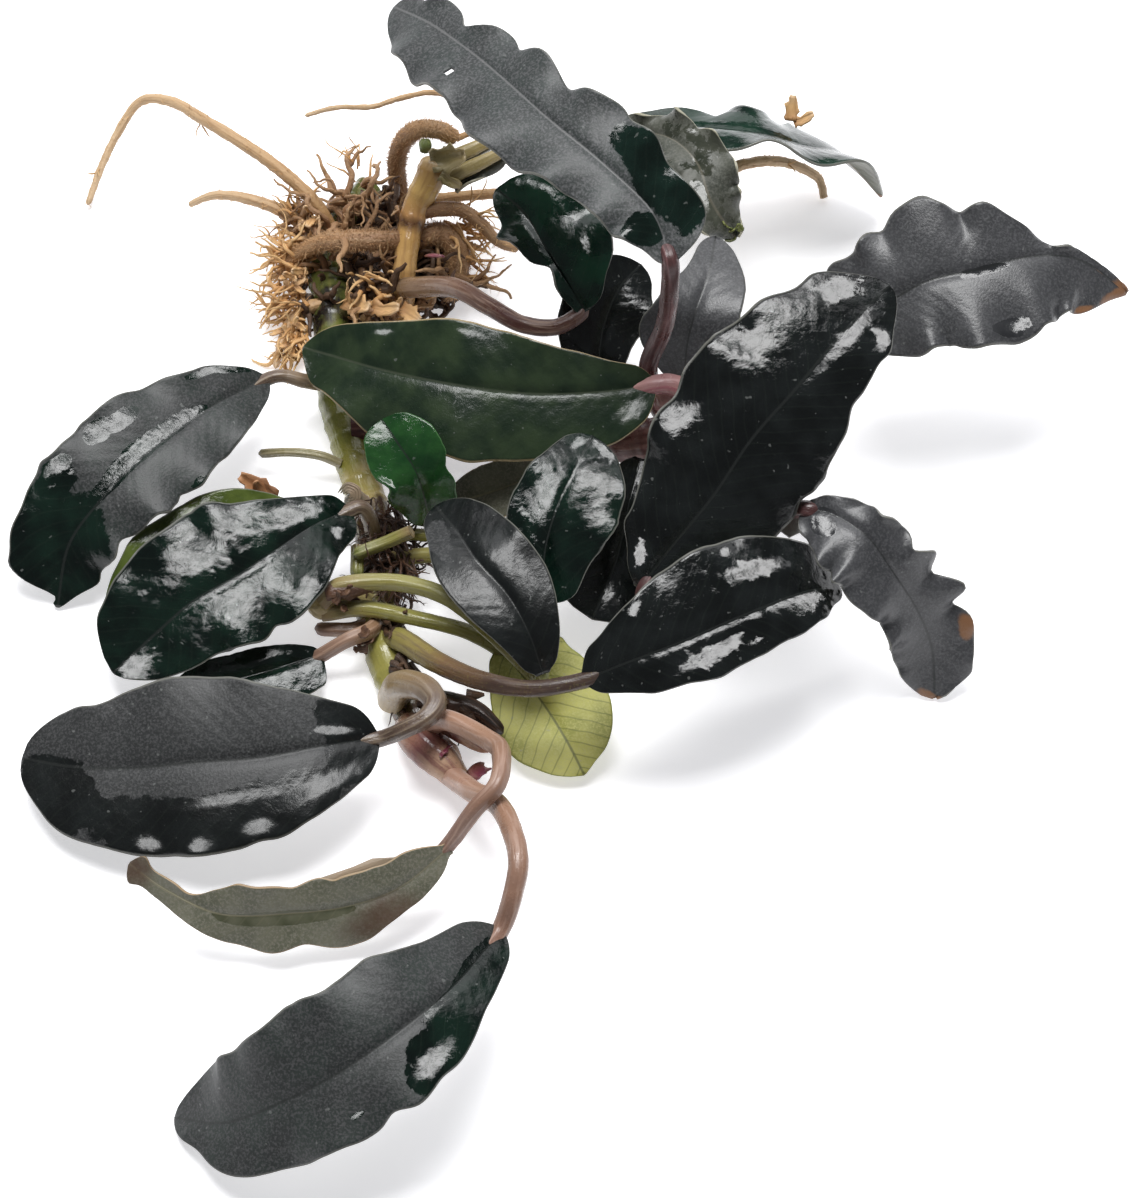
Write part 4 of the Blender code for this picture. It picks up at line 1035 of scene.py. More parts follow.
def grow_blade(name, blade, surface):
    """Bend a flat grid to the leaf and keep its measurements at each point."""
    midrib = [Vector(p) for p in blade.midrib]
    length = route_length(midrib)
    rows = max(30, round(length / ROW_STEP))
    sheet = bmesh.new()
    bmesh.ops.create_grid(sheet, x_segments=rows, y_segments=COLUMNS, size=0.5)
    place_of = sheet.verts.layers.float_vector.new("place")
    wet_of = sheet.verts.layers.float.new("wet")
    brown_of = sheet.verts.layers.float.new("brown")
    body_of = sheet.verts.layers.deform.verify()
    lean_of = sheet.verts.layers.float_vector.new("lean")
    frames = {}
    holes = []

    def place_on(along, across):
        rib_frame = leaf_frame(blade, surface, midrib, along)
        return sheet_point(blade, surface, rib_frame, along, across, length)[0]

    leans = glint_leans(surface, place_on,
                        lambda along: leaf_frame(blade, surface, midrib, along)[2])
    for vert in sheet.verts:
        along = min(max(vert.co.x + 0.5, 0.0), 1.0)
        across = min(max(vert.co.y * 2, -1.0), 1.0)
        key = round(along * rows)
        if key not in frames:
            frames[key] = leaf_frame(blade, surface, midrib, along)
        point, width, off_rib = sheet_point(blade, surface, frames[key], along, across, length)
        vert[place_of] = (off_rib if across > 0 else -off_rib, along * length, abs(across))
        vert[lean_of] = film_lean(surface, leans, along, across, length, width)
        film = surface.film + patch_value(surface.wet, along, across, length, width)
        film += GLINT_WETNESS * patch_value(surface.glints, along, across, length, width)
        vert[wet_of] = film - patch_value(surface.dry, along, across, length, width)
        vert[brown_of] = patch_value(surface.brown, along, across, length, width)
        thick = max(MARGIN_SHARE, 1.0 - 0.9 * abs(across) ** 0.6)
        vert[body_of][0] = thick * (1.0 - 0.4 * along)
        if patch_value(surface.holes, along, across, length, width) > 0:
            holes.append(vert)
        point.z = max(point.z, TABLE_CLEARANCE + LEAF_THICKNESS / 2)
        vert.co = point * MM
    bmesh.ops.delete(sheet, geom=holes, context="VERTS")
    bmesh.ops.reverse_faces(sheet, faces=sheet.faces)
    leaf, shell = with_thickness(name, sheet, LEAF_THICKNESS)
    shell.vertex_group = leaf.vertex_groups.new(name="body").name
    shell.thickness_vertex_group = MARGIN_SHARE
    shell.material_offset = 1
    shell.material_offset_rim = 0
    leaf.data.materials.append(skins[surface.skin or blade.colour])
    same_below = blade.colour in SAME_SKIN_BELOW
    leaf.data.materials.append(skins[blade.colour if same_below else "underside"])
    return settle(leaf)


def settle(thing):
    """Turn an object with modifiers or a curve into a plain smooth mesh of the same name."""
    name = thing.name
    bpy.context.view_layer.update()
    ready = thing.evaluated_get(bpy.context.evaluated_depsgraph_get())
    mesh = bpy.data.meshes.new_from_object(ready)
    thing.name = name + "_draft"
    done = put_in_scene(name, mesh)
    bpy.data.objects.remove(thing)
    mesh.shade_smooth()
    return done


def take_place(piece, node):
    """Let a fine piece stand for its plain solid."""
    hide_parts(node)
    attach(piece, "root")


for node, blade in BLADES.items():
    leaf = grow_blade(node + "_fine", blade, SURFACES[node])
    take_place(leaf, node)
    print(node, len(leaf.data.polygons), "faces")

# %% [markdown]
# ## Skins of the stalks, rhizome and roots
#
# The stalks are fleshy and grooved, with stripes that run lengthwise, from yellow-green through
# tan to wine red. The rhizome is a glossy green and tan stem with a ring where each old leaf
# fell, black and rotten in two places. The roots are matt and woolly. Each of these keeps two
# things at its points: how far along it is, and where round the stem it lies, as a point on a
# circle. Noise that is stretched along the stem on those two gives stripes with no seam.

# %% Stem skins
@dataclass
class StemLook:
    """The colours of a stem from its start to its end, its stripes and its shine."""

    bands: list
    stripe: tuple
    stripe_share: float = 0.55
    roughness: float = 0.34
    pitted: float = 0.03


def stem_skin(name, look):
    """Make the finish of one kind of stem."""
    skin = Finish(name)
    along = skin.kept("along").outputs["Fac"]
    share = skin.kept("share").outputs["Fac"]
    round_x, round_y, _ = skin.split(skin.kept("round").outputs["Vector"])
    stretched = skin.join(round_x, round_y, skin.math("MULTIPLY", along, 0.07))
    stripes = skin.noise(stretched, 0.42, detail=3, roughness=0.6)
    clouds = skin.noise(skin.here, 3.0 * MM, detail=4, roughness=0.6)
    grain = skin.noise(skin.here, 0.30 * MM, detail=2)
    wander = skin.math("MULTIPLY", skin.math("SUBTRACT", clouds, 0.5), 0.16)
    colour = skin.bands(skin.math("ADD", share, wander), look.bands)
    lines = skin.math("MULTIPLY", skin.step(stripes, 0.47, 0.66), look.stripe_share)
    colour = skin.blend(lines, colour, look.stripe)
    spots = skin.math("MULTIPLY", skin.step(grain, 0.56, 0.74), 0.25)
    colour = skin.blend(spots, colour, look.bands[0][1])
    roughness = skin.blend(skin.step(clouds, 0.35, 0.7), look.roughness - 0.1, look.roughness + 0.1)
    normal = skin.relief(stripes, 0.14 * MM)
    normal = skin.relief(grain, look.pitted * MM, under=normal)
    return skin.done(colour, roughness, normal, Specular_IOR_Level=0.5)


print("stem finish ready")

# %% [markdown]
# ## Kinds of stem
#
# Each kind is a row of colours from the start of the stem to its end, the colour of its stripes
# and how much they show, and its shine. The small scales, hairs and scraps use the same finish.

# %% Kinds of stem
GREEN = (0.095, 0.115, 0.020)
YELLOW_GREEN = (0.250, 0.230, 0.060)
TAN = (0.230, 0.135, 0.068)
BLACK_ROT = (0.010, 0.007, 0.006)
BROWN_ROT = (0.040, 0.019, 0.011)
PINK = (0.420, 0.245, 0.180)
WINE = (0.070, 0.018, 0.018)

STEM_LOOKS = {
    "red_stalk": StemLook([(0.0, WINE), (0.5, (0.085, 0.034, 0.032)), (1.0, (0.05, 0.024, 0.024))],
                          stripe=(0.20, 0.10, 0.10)),
    "wine_shoot": StemLook([(0.0, WINE), (0.6, (0.085, 0.026, 0.028)), (1.0, (0.12, 0.045, 0.04))],
                           stripe=(0.30, 0.155, 0.135), stripe_share=0.7),
    "brown_stalk": StemLook([(0.0, YELLOW_GREEN), (0.22, (0.26, 0.21, 0.07)),
                             (0.36, (0.16, 0.095, 0.045)), (0.55, (0.055, 0.032, 0.023)),
                             (1.0, (0.036, 0.021, 0.017))],
                            stripe=(0.12, 0.080, 0.055)),
    "pink_stalk": StemLook([(0.0, PINK), (0.3, (0.30, 0.175, 0.115)), (0.7, (0.22, 0.125, 0.088)),
                            (1.0, (0.13, 0.062, 0.046))], stripe=(0.42, 0.29, 0.23)),
    "grey_stalk": StemLook([(0.0, (0.32, 0.235, 0.115)), (0.30, (0.21, 0.145, 0.085)),
                            (0.45, (0.11, 0.073, 0.053)),
                            (1.0, (0.050, 0.036, 0.031))], stripe=(0.27, 0.215, 0.155)),
    "long_stalk": StemLook([(0.0, (0.26, 0.17, 0.095)), (0.35, (0.18, 0.095, 0.062)),
                            (0.6, (0.075, 0.030, 0.025)), (1.0, (0.095, 0.046, 0.036))],
                           stripe=(0.36, 0.25, 0.19)),
    "lilac_stalk": StemLook([(0.0, (0.33, 0.14, 0.115)), (0.5, (0.36, 0.20, 0.20)),
                             (1.0, (0.40, 0.20, 0.15))], stripe=(0.26, 0.055, 0.085)),
    "tan_stalk": StemLook([(0.0, TAN), (0.5, (0.23, 0.140, 0.098)), (1.0, (0.17, 0.10, 0.074))],
                          stripe=(0.40, 0.27, 0.20)),
    "shoot_skin": StemLook([(0.0, (0.42, 0.235, 0.090)), (0.3, (0.60, 0.37, 0.145)),
                            (0.50, (0.54, 0.32, 0.105)), (0.56, (0.08, 0.036, 0.018)),
                            (0.62, (0.46, 0.25, 0.095)), (0.80, (0.52, 0.34, 0.115)),
                            (0.90, (0.32, 0.19, 0.065)), (1.0, (0.56, 0.42, 0.24))],
                           stripe=(0.24, 0.115, 0.050), stripe_share=0.35, roughness=0.24),
    "green_stalk": StemLook([(0.0, (0.24, 0.17, 0.085)), (0.25, YELLOW_GREEN),
                             (0.7, (0.19, 0.185, 0.048)), (1.0, (0.11, 0.13, 0.033))],
                            stripe=(0.30, 0.285, 0.14), stripe_share=0.5),
    "rhizome_skin": StemLook(
        [(0.0, GREEN), (0.20, (0.10, 0.11, 0.03)), (0.225, BLACK_ROT), (0.255, BLACK_ROT),
         (0.28, GREEN), (0.40, (0.15, 0.165, 0.028)), (0.50, (0.24, 0.22, 0.045)),
         (0.55, (0.36, 0.28, 0.115)), (0.575, BROWN_ROT), (0.72, BROWN_ROT),
         (0.76, YELLOW_GREEN), (0.86, YELLOW_GREEN), (0.90, BROWN_ROT), (0.95, PINK),
         (1.0, PINK)],
        stripe=(0.19, 0.17, 0.055), stripe_share=0.35, roughness=0.26),
    "dark_rhizome": StemLook([(0.0, BROWN_ROT), (1.0, BLACK_ROT)], stripe=(0.09, 0.045, 0.026)),
    "root_skin": StemLook([(0.0, (0.22, 0.110, 0.050)), (0.6, (0.33, 0.185, 0.088)),
                           (1.0, (0.47, 0.285, 0.140))],
                          stripe=(0.37, 0.24, 0.135), roughness=0.6, pitted=0.16),
    # deep_root: old dead roots, dark also as painted shade inside the root mass
    "deep_root": StemLook([(0.0, (0.030, 0.015, 0.008)), (1.0, (0.085, 0.042, 0.021))],
                          stripe=(0.17, 0.10, 0.055), roughness=0.6, pitted=0.12),
    "pale_root": StemLook([(0.0, (0.40, 0.235, 0.100)), (1.0, (0.62, 0.45, 0.28))],
                          stripe=(0.30, 0.160, 0.065), stripe_share=0.5, roughness=0.6,
                          pitted=0.12),
    "gold_root": StemLook([(0.0, (0.50, 0.250, 0.080)), (1.0, (0.90, 0.62, 0.31))],
                          stripe=(0.26, 0.120, 0.045), stripe_share=0.5, roughness=0.6),
    "wool": StemLook([(0.0, (0.32, 0.170, 0.075)), (1.0, (0.72, 0.46, 0.240))],
                     stripe=(0.38, 0.25, 0.145), roughness=0.7),
    "fibre": StemLook([(0.0, (0.040, 0.018, 0.010)), (1.0, (0.095, 0.045, 0.025))],
                      stripe=(0.14, 0.075, 0.042), stripe_share=0.4, roughness=0.42),
    "paper": StemLook([(0.0, (0.36, 0.185, 0.075)), (0.6, (0.64, 0.40, 0.180)),
                       (1.0, (0.62, 0.43, 0.25))], stripe=(0.33, 0.18, 0.080), roughness=0.5),
    "orange_paper": StemLook([(0.0, (0.22, 0.10, 0.045)), (1.0, (0.42, 0.21, 0.095))],
                             stripe=(0.30, 0.15, 0.075), roughness=0.5),
    "sheath_skin": StemLook([(0.0, (0.30, 0.26, 0.15)), (0.5, (0.20, 0.18, 0.075)),
                             (1.0, (0.13, 0.11, 0.06))], stripe=(0.36, 0.31, 0.20)),
    "moss": StemLook([(0.0, (0.055, 0.075, 0.014)), (1.0, (0.15, 0.18, 0.045))],
                     stripe=(0.24, 0.21, 0.10), roughness=0.45),
    "bud_green": StemLook([(0.0, (0.060, 0.080, 0.020)), (1.0, (0.18, 0.22, 0.075))],
                          stripe=(0.14, 0.16, 0.05)),
    "grey_paper": StemLook([(0.0, (0.16, 0.155, 0.15)), (1.0, (0.30, 0.29, 0.28))],
                           stripe=(0.20, 0.17, 0.15)),
    "scab": StemLook([(0.0, (0.105, 0.050, 0.028)), (0.5, (0.055, 0.026, 0.015)),
                      (1.0, (0.13, 0.065, 0.036))], stripe=(0.20, 0.115, 0.066), roughness=0.5,
                     pitted=0.1),
    "cream_sheath": StemLook([(0.0, (0.17, 0.14, 0.055)), (0.6, (0.34, 0.27, 0.115)),
                              (1.0, (0.40, 0.31, 0.15))], stripe=(0.46, 0.38, 0.22)),
    "magenta": StemLook([(0.0, (0.30, 0.13, 0.10)), (0.6, (0.28, 0.065, 0.105)),
                         (1.0, (0.18, 0.022, 0.060))], stripe=(0.42, 0.24, 0.21)),
    "rim_skin": StemLook([(0.0, (0.26, 0.21, 0.145)), (0.6, (0.30, 0.22, 0.145)),
                          (1.0, (0.20, 0.19, 0.14))], stripe=(0.22, 0.15, 0.095), roughness=0.45),
    "peach_skin": StemLook([(0.0, (0.04, 0.018, 0.014)), (0.2, (0.33, 0.19, 0.115)),
                            (0.5, (0.20, 0.085, 0.072)), (0.7, (0.46, 0.30, 0.20)),
                            (1.0, (0.38, 0.21, 0.14))], stripe=(0.13, 0.035, 0.045),
                           stripe_share=0.6, roughness=0.26),
}
STEM_SKINS = {
    "rhizome_side_shoot": "wine_shoot",
    "stalk_left_green": "grey_stalk",
    "stub_red": "tan_stalk",
    "stub_yellow": "sheath_skin",
    "sheath_left": "cream_sheath",
    "rhizome_upright_shoot": "shoot_skin",
    "stalk_crown": "red_stalk",
    "stalk_under_crown": "long_stalk",
    "stalk_right_low": "brown_stalk",
    "stalk_centre_green": "lilac_stalk",
    "stalk_left_upper": "grey_stalk",
    "stalk_left_small": "tan_stalk",
    "stalk_left_broad": "grey_stalk",
    "stalk_front": "pink_stalk",
    "stalk_front_underside": "pink_stalk",
}
for name, look in STEM_LOOKS.items():
    skins[name] = stem_skin(name + "_skin", look)
print("stem finishes:", sorted(STEM_LOOKS))

# %% [markdown]
# ## Routes of the stems
#
# A stem is noted as the line of its middle, in millimetres, and its radius at even steps. The
# routes are those of the plain solids. Two were drawn again from the photograph once the leaves
# stood: the thin pale root at the back, and the hooked stalk of the broad left leaf.

# %% Stem routes
@dataclass
class Rod:
    """A stalk, a root or a length of rhizome, through its points."""

    route: list
    radii: list
    colour: str = ""


RHIZOME = {
    "rhizome_main": Rod(
        route=[(-1, 50, 1.7), (-3, 46.5, 1.7), (-5.5, 41.5, 1.7), (-6, 37, 1.7), (-5, 32, 1.7),
               (-5, 28, 1.7), (-4.5, 22.5, 1.7), (-4, 16.5, 1.7), (-2.5, 10.5, 1.7),
               (-1, 4, 1.7), (0, 0.5, 1.7), (1, -4.5, 1.7), (1.5, -10.5, 1.7),
               (1.5, -16.5, 1.7), (3, -23, 1.7), (5, -28, 1.7), (7.5, -33, 1.7),
               (11, -37.5, 1.7)],
        radii=[1.8, 2.3, 2.6, 2.4, 2.5, 2.3, 2.6, 2.5, 2.2, 1.8],
        colour="rhizome_skin",
    ),
    "rhizome_side_shoot": Rod(
        route=[(-2, 11, 3), (7.5, 11, 4), (18.5, 9.5, 5), (27, 6, 8), (33, 3.5, 11), (40, 3, 14)],
        radii=[2, 2.2, 2.2, 2.3, 2.6, 2.4],
        colour="red_stalk",
    ),
    "rhizome_upright_shoot": Rod(
        route=[(3.5, 29.5, 2), (4, 31, 5), (4, 33, 8), (5, 38.5, 11), (7, 41.5, 14), (8, 43.5, 16)],
        radii=[1.4, 1.3, 1.4, 1.6, 1.8, 1.9],
        colour="tan_stalk",
    ),
}

STALKS = {
    "stalk_crown": Rod(
        [(37, 4, 12), (34.5, 8.5, 13), (33.8, 10, 17.5), (35.5, 9, 26), (36, 7.5, 34),
         (36, 7.5, 40)],
        [1.3, 1.1, 1.0], "red_stalk"),
    "stalk_under_crown": Rod(
        [(4, 30, 7), (10, 24.5, 14), (14.5, 20, 16), (18.5, 16.5, 17), (22.5, 16, 17),
         (25.5, 18, 17)],
        [1.3, 1.1, 0.9], "tan_stalk"),
    "stalk_far_right": Rod(
        [(40.5, 3.5, 14), (46, 8, 16), (51, 12, 17.5), (55.5, 15, 18)],
        [1.3, 1.1, 1.0], "red_stalk"),
    "stalk_centre_tall": Rod(
        [(38, 3, 12), (38.5, -4, 7), (37.5, -12, 6), (36, -17.5, 8), (33, -19.5, 11.5)],
        [1.2, 1.0, 0.9], "red_stalk"),
    "stalk_right_low": Rod(
        [(2.5, -19.5, 2), (4.5, -21.5, 5), (9, -27.5, 9), (14, -32, 12), (20, -34.5, 14),
         (26, -34, 15)],
        [1.5, 1.3, 1.0, 0.9], "red_stalk"),
    "stalk_right_drooping": Rod(
        [(40, 2, 13.5), (43.5, -3.5, 14.5), (47.5, -9.5, 15.5), (51.5, -13, 19.8)],
        [1.3, 1.1, 1.0], "red_stalk"),
    "stalk_centre_green": Rod(
        [(38, 3.5, 13), (38.5, 4.5, 18.5), (36.5, 5, 20), (34.5, 5, 20)],
        [1.6, 1.3, 1.0], "tan_stalk"),
    "stalk_left_upper": Rod(
        [(-5, 18, 3), (-8, 15.5, 7), (-10.5, 15.5, 8), (-12.5, 15, 8)],
        [1.0, 0.8, 0.8], "tan_stalk"),
    "stalk_left_green": Rod(
        [(1, -6, 3), (0.5, -5.5, 7), (-0.5, -5, 9), (-2, -5.5, 9)],
        [1.0, 0.9, 0.8], "green_stalk"),
    "stalk_left_small": Rod(
        [(1.5, -17.5, 3), (0.5, -20.3, 5.2), (-2, -21.8, 5.5), (-5, -22.5, 3.5)],
        [1.1, 0.9, 0.8], "tan_stalk"),
    "stalk_left_broad": Rod(
        [(3.5, -28.5, 3), (4.6, -29.8, 8), (7.4, -32.4, 11), (8.8, -34.9, 11.8),
         (7.8, -36.9, 11.8), (5.3, -38, 11), (2.5, -38, 9)],
        [1.9, 1.6, 1.25, 1.0, 0.9], "tan_stalk"),
    "stalk_front_underside": Rod(
        [(7, -33, 3), (10, -35.5, 9), (15.5, -41, 12.5), (16.5, -44.5, 15), (16, -49, 16),
         (13.5, -51, 14), (10.5, -52.5, 9)],
        [1.3, 1.1, 0.9], "tan_stalk"),
    "stalk_front": Rod(
        [(10, -38.5, 2.5), (13, -45, 8.5), (16.5, -50.3, 13), (18.5, -58.5, 16.5), (18, -62.8, 15),
         (16.5, -66, 12)],
        [1.4, 1.2, 1.0], "tan_stalk"),
    "stalk_young_bright": Rod(
        [(0.5, -6.5, 3), (5, -6.5, 5.5), (7.5, -7.3, 6.5), (7.5, -6.5, 8)],
        [0.8, 0.7, 0.6], "green_stalk"),
    "stalk_small_black": Rod(
        [(-5, -17, 6.5), (-2.5, -16, 8.5), (4, -16, 9), (10, -18.5, 9.5), (15.5, -23.5, 9),
         (19.5, -27.5, 8), (21, -29.5, 8.8)],
        [1.1, 1.0, 0.9], "green_stalk"),
    "stalk_round_glossy": Rod(
        [(2, -8.5, 3), (9, -10, 6), (16, -14, 7), (21, -20.5, 11)],
        [1.0, 0.9, 0.8], "green_stalk"),
    "stalk_yellow": Rod(
        [(-5, -17.5, 5), (0, -17.5, 5.8), (6, -19, 6), (12, -20.5, 5.5), (16, -22, 4)],
        [1.1, 0.9, 1.0], "green_stalk"),
    "stalk_grey_back": Rod(
        [(39, 4, 13), (39, 7, 13.5), (38, 10, 13.5)],
        [1.1, 0.9, 0.8], "red_stalk"),
}

print("rhizome parts:", len(RHIZOME), "stalks:", len(STALKS))

# %% [markdown]
# ## Routes of the sheath, stubs and roots
#
# Stubs are what is left of stalks whose leaves fell. The main roots are the thick ones that can
# be told apart. The finer ones follow further down.

# %% Routes of the sheath, stubs and roots
SHEATHS = {
    "sheath_left": Rod(
        [(1, -14, 2.5), (-3, -15.5, 4.5), (-6.5, -17.5, 6)], [1.5, 1.8, 1.6], "tan_stalk"),
}

STUBS = {
    "stub_yellow": Rod(
        [(-3.5, 6, 3), (-6, 6.5, 4), (-9.5, 7, 4), (-13.5, 7.5, 3)], [0.6, 0.55, 0.55],
        "green_stalk"),
    "stub_green": Rod(
        [(5.5, -8.8, 9.5), (2.5, -9.3, 8), (-1.5, -10.5, 7)], [0.8, 0.8, 0.8], "green_stalk"),
    "stub_short": Rod([(-1, -8.5, 6), (-1, -12.5, 5)], [0.8, 0.8], "green_stalk"),
    "stub_red": Rod(
        [(0.5, -17.5, 2.5), (-1.5, -18.5, 3), (-3.5, -18.5, 3), (-6, -18, 2.5)], [1, 0.9, 0.8],
        "red_stalk"),
    "stub_decayed": Rod(
        [(7, -29, 3.5), (10.5, -30.5, 4.5), (13.5, -31.5, 4.5), (16.5, -34, 4)],
        [1.4, 1.6, 1.3, 0.7], "dark_rhizome"),
}

ROOTS = {
    "root_arch": Rod(
        [(3, 46.5, 4), (2.7, 48.2, 9), (3.6, 48.4, 13), (5.6, 47.5, 16.4), (8.4, 46.6, 17.2),
         (10.2, 46.6, 15.6)],
        [1.1, 1.15, 1.05], "root_skin"),
    "root_brown": Rod(
        [(4.5, 36, 9), (1, 35, 10), (-3, 35, 10), (-7, 36, 8), (-11, 36.5, 4)],
        [1.2, 1.2, 0.9], "root_skin"),
    "root_long": Rod(
        [(-5, 40.5, 4), (-7, 42, 8), (-10.5, 45, 10), (-15, 48.5, 11), (-22, 54, 11),
         (-26, 57.5, 10), (-30, 59, 8), (-33, 56, 5), (-35, 52, 3), (-36.5, 48, 1)],
        [0.9, 0.8, 0.6, 0.4], "pale_root"),
    "root_second": Rod(
        [(-5.5, 40, 3), (-11, 42.5, 6), (-15.5, 44, 7), (-20, 45.5, 6), (-23.5, 45.5, 4)],
        [0.9, 0.7, 0.4], "pale_root"),
    "root_thin": Rod([(10.4, 46.8, 15.4), (12.4, 49, 15), (10.8, 53, 14.5), (7.5, 55.5, 14),
                      (3, 55.8, 12.5), (-0.5, 55.3, 11.5), (-5, 56, 10.5), (-9, 55.5, 9.5)],
                     [0.45, 0.38, 0.3], "pale_root"),
    "root_middle": Rod(
        [(4.5, 36.5, 8), (8, 38, 7.5), (10, 37, 6.5), (10.5, 35, 5), (9.5, 31.5, 2.5)],
        [1.2, 1.6, 1.5, 1.2], "root_skin"),
    "root_right": Rod(
        [(5.5, 38.8, 11), (10.5, 39.2, 11), (13.5, 37.5, 10), (15.5, 36, 8.5), (18, 36, 7)],
        [1.0, 0.8, 0.5], "root_skin"),
    "root_left_down": Rod([(-5, 31, 3), (-9, 29.5, 3), (-11, 26.5, 2), (-12, 22, 1)],
                          [0.9, 0.7, 0.4], "pale_root"),
    "root_back_right": Rod(
        [(-3, 46.5, 2), (7, 46.5, 4), (20, 45.5, 7), (31, 45, 9), (41.5, 45.5, 9), (46, 48, 9),
         (51, 50.5, 6.5), (55.5, 51, 3), (56.5, 49.5, 0.5)],
        [0.8, 0.6, 0.7, 0.5], "pale_root"),
}

STEMS = {**RHIZOME, **SHEATHS, **STALKS, **STUBS, **ROOTS}
print("stems:", len(STEMS))

# %% [markdown]
# ## A tree of nodes that grows stems
#
# A stem follows a path, which is what Geometry Nodes are good at: Curve to Mesh sweeps a ring
# along the path, and the path's own radius makes it thick or thin. The tree then pushes each
# point out or in along its normal: ribs round the stem, a ring at each leaf scar, and lumps.
# Its inputs are named, so one tree grows smooth stalks, ringed rhizome and lumpy roots. The
# last step keeps every point above the table, which gives the rhizome its flat underside.

# %% Stem-growing node tree
class NodeTree(TreeBuilder):
    """A Geometry Nodes tree under construction."""

    def __init__(self, name, numbers):
        self.tree = bpy.data.node_groups.new(name, "GeometryNodeTree")
        panel = self.tree.interface
        panel.new_socket("Geometry", in_out="INPUT", socket_type="NodeSocketGeometry")
        self.keys = {}
        for label, start in numbers.items():
            kind = "NodeSocketInt" if isinstance(start, int) else "NodeSocketFloat"
            socket = panel.new_socket(label, in_out="INPUT", socket_type=kind)
            socket.default_value = start
            self.keys[label] = socket.identifier
        socket = panel.new_socket("Skin", in_out="INPUT", socket_type="NodeSocketMaterial")
        self.keys["Skin"] = socket.identifier
        panel.new_socket("Geometry", in_out="OUTPUT", socket_type="NodeSocketGeometry")
        self.given = self.tree.nodes.new("NodeGroupInput").outputs
        self.result = self.tree.nodes.new("NodeGroupOutput").inputs[0]

    def add(self, kind, settings=None, **inputs):
        """Add a node; settings are its options, and inputs are values or links by name."""
        node = self.tree.nodes.new(kind)
        for option, value in (settings or {}).items():
            setattr(node, option, value)
        for label, value in inputs.items():
            self.feed(node.inputs[label.replace("_", " ")], value)
        return node

    def keep(self, geometry, name, kind, value):
        """Store a value at each point under a name."""
        node = self.add("GeometryNodeStoreNamedAttribute", {"data_type": kind, "domain": "POINT"},
                        Geometry=geometry, Name=name, Value=value)
        return node.outputs[0]

    def apply(self, thing, **values):
        """Put the tree on an object with these inputs and turn the result into a plain mesh."""
        modifier = thing.modifiers.new(self.tree.name, "NODES")
        modifier.node_group = self.tree
        for label, value in values.items():
            modifier[self.keys[label.replace("_", " ")]] = value
        return settle(thing)


def above_table(nodes, geometry, floor):
    """Lift every point that would lie lower than the floor value."""
    place = nodes.add("GeometryNodeInputPosition").outputs[0]
    parts = nodes.add("ShaderNodeSeparateXYZ", Vector=place).outputs
    height = nodes.math("MAXIMUM", parts[2], floor)
    lifted = nodes.add("ShaderNodeCombineXYZ", X=parts[0], Y=parts[1], Z=height).outputs[0]
    return nodes.add("GeometryNodeSetPosition", Geometry=geometry, Position=lifted).outputs[0]


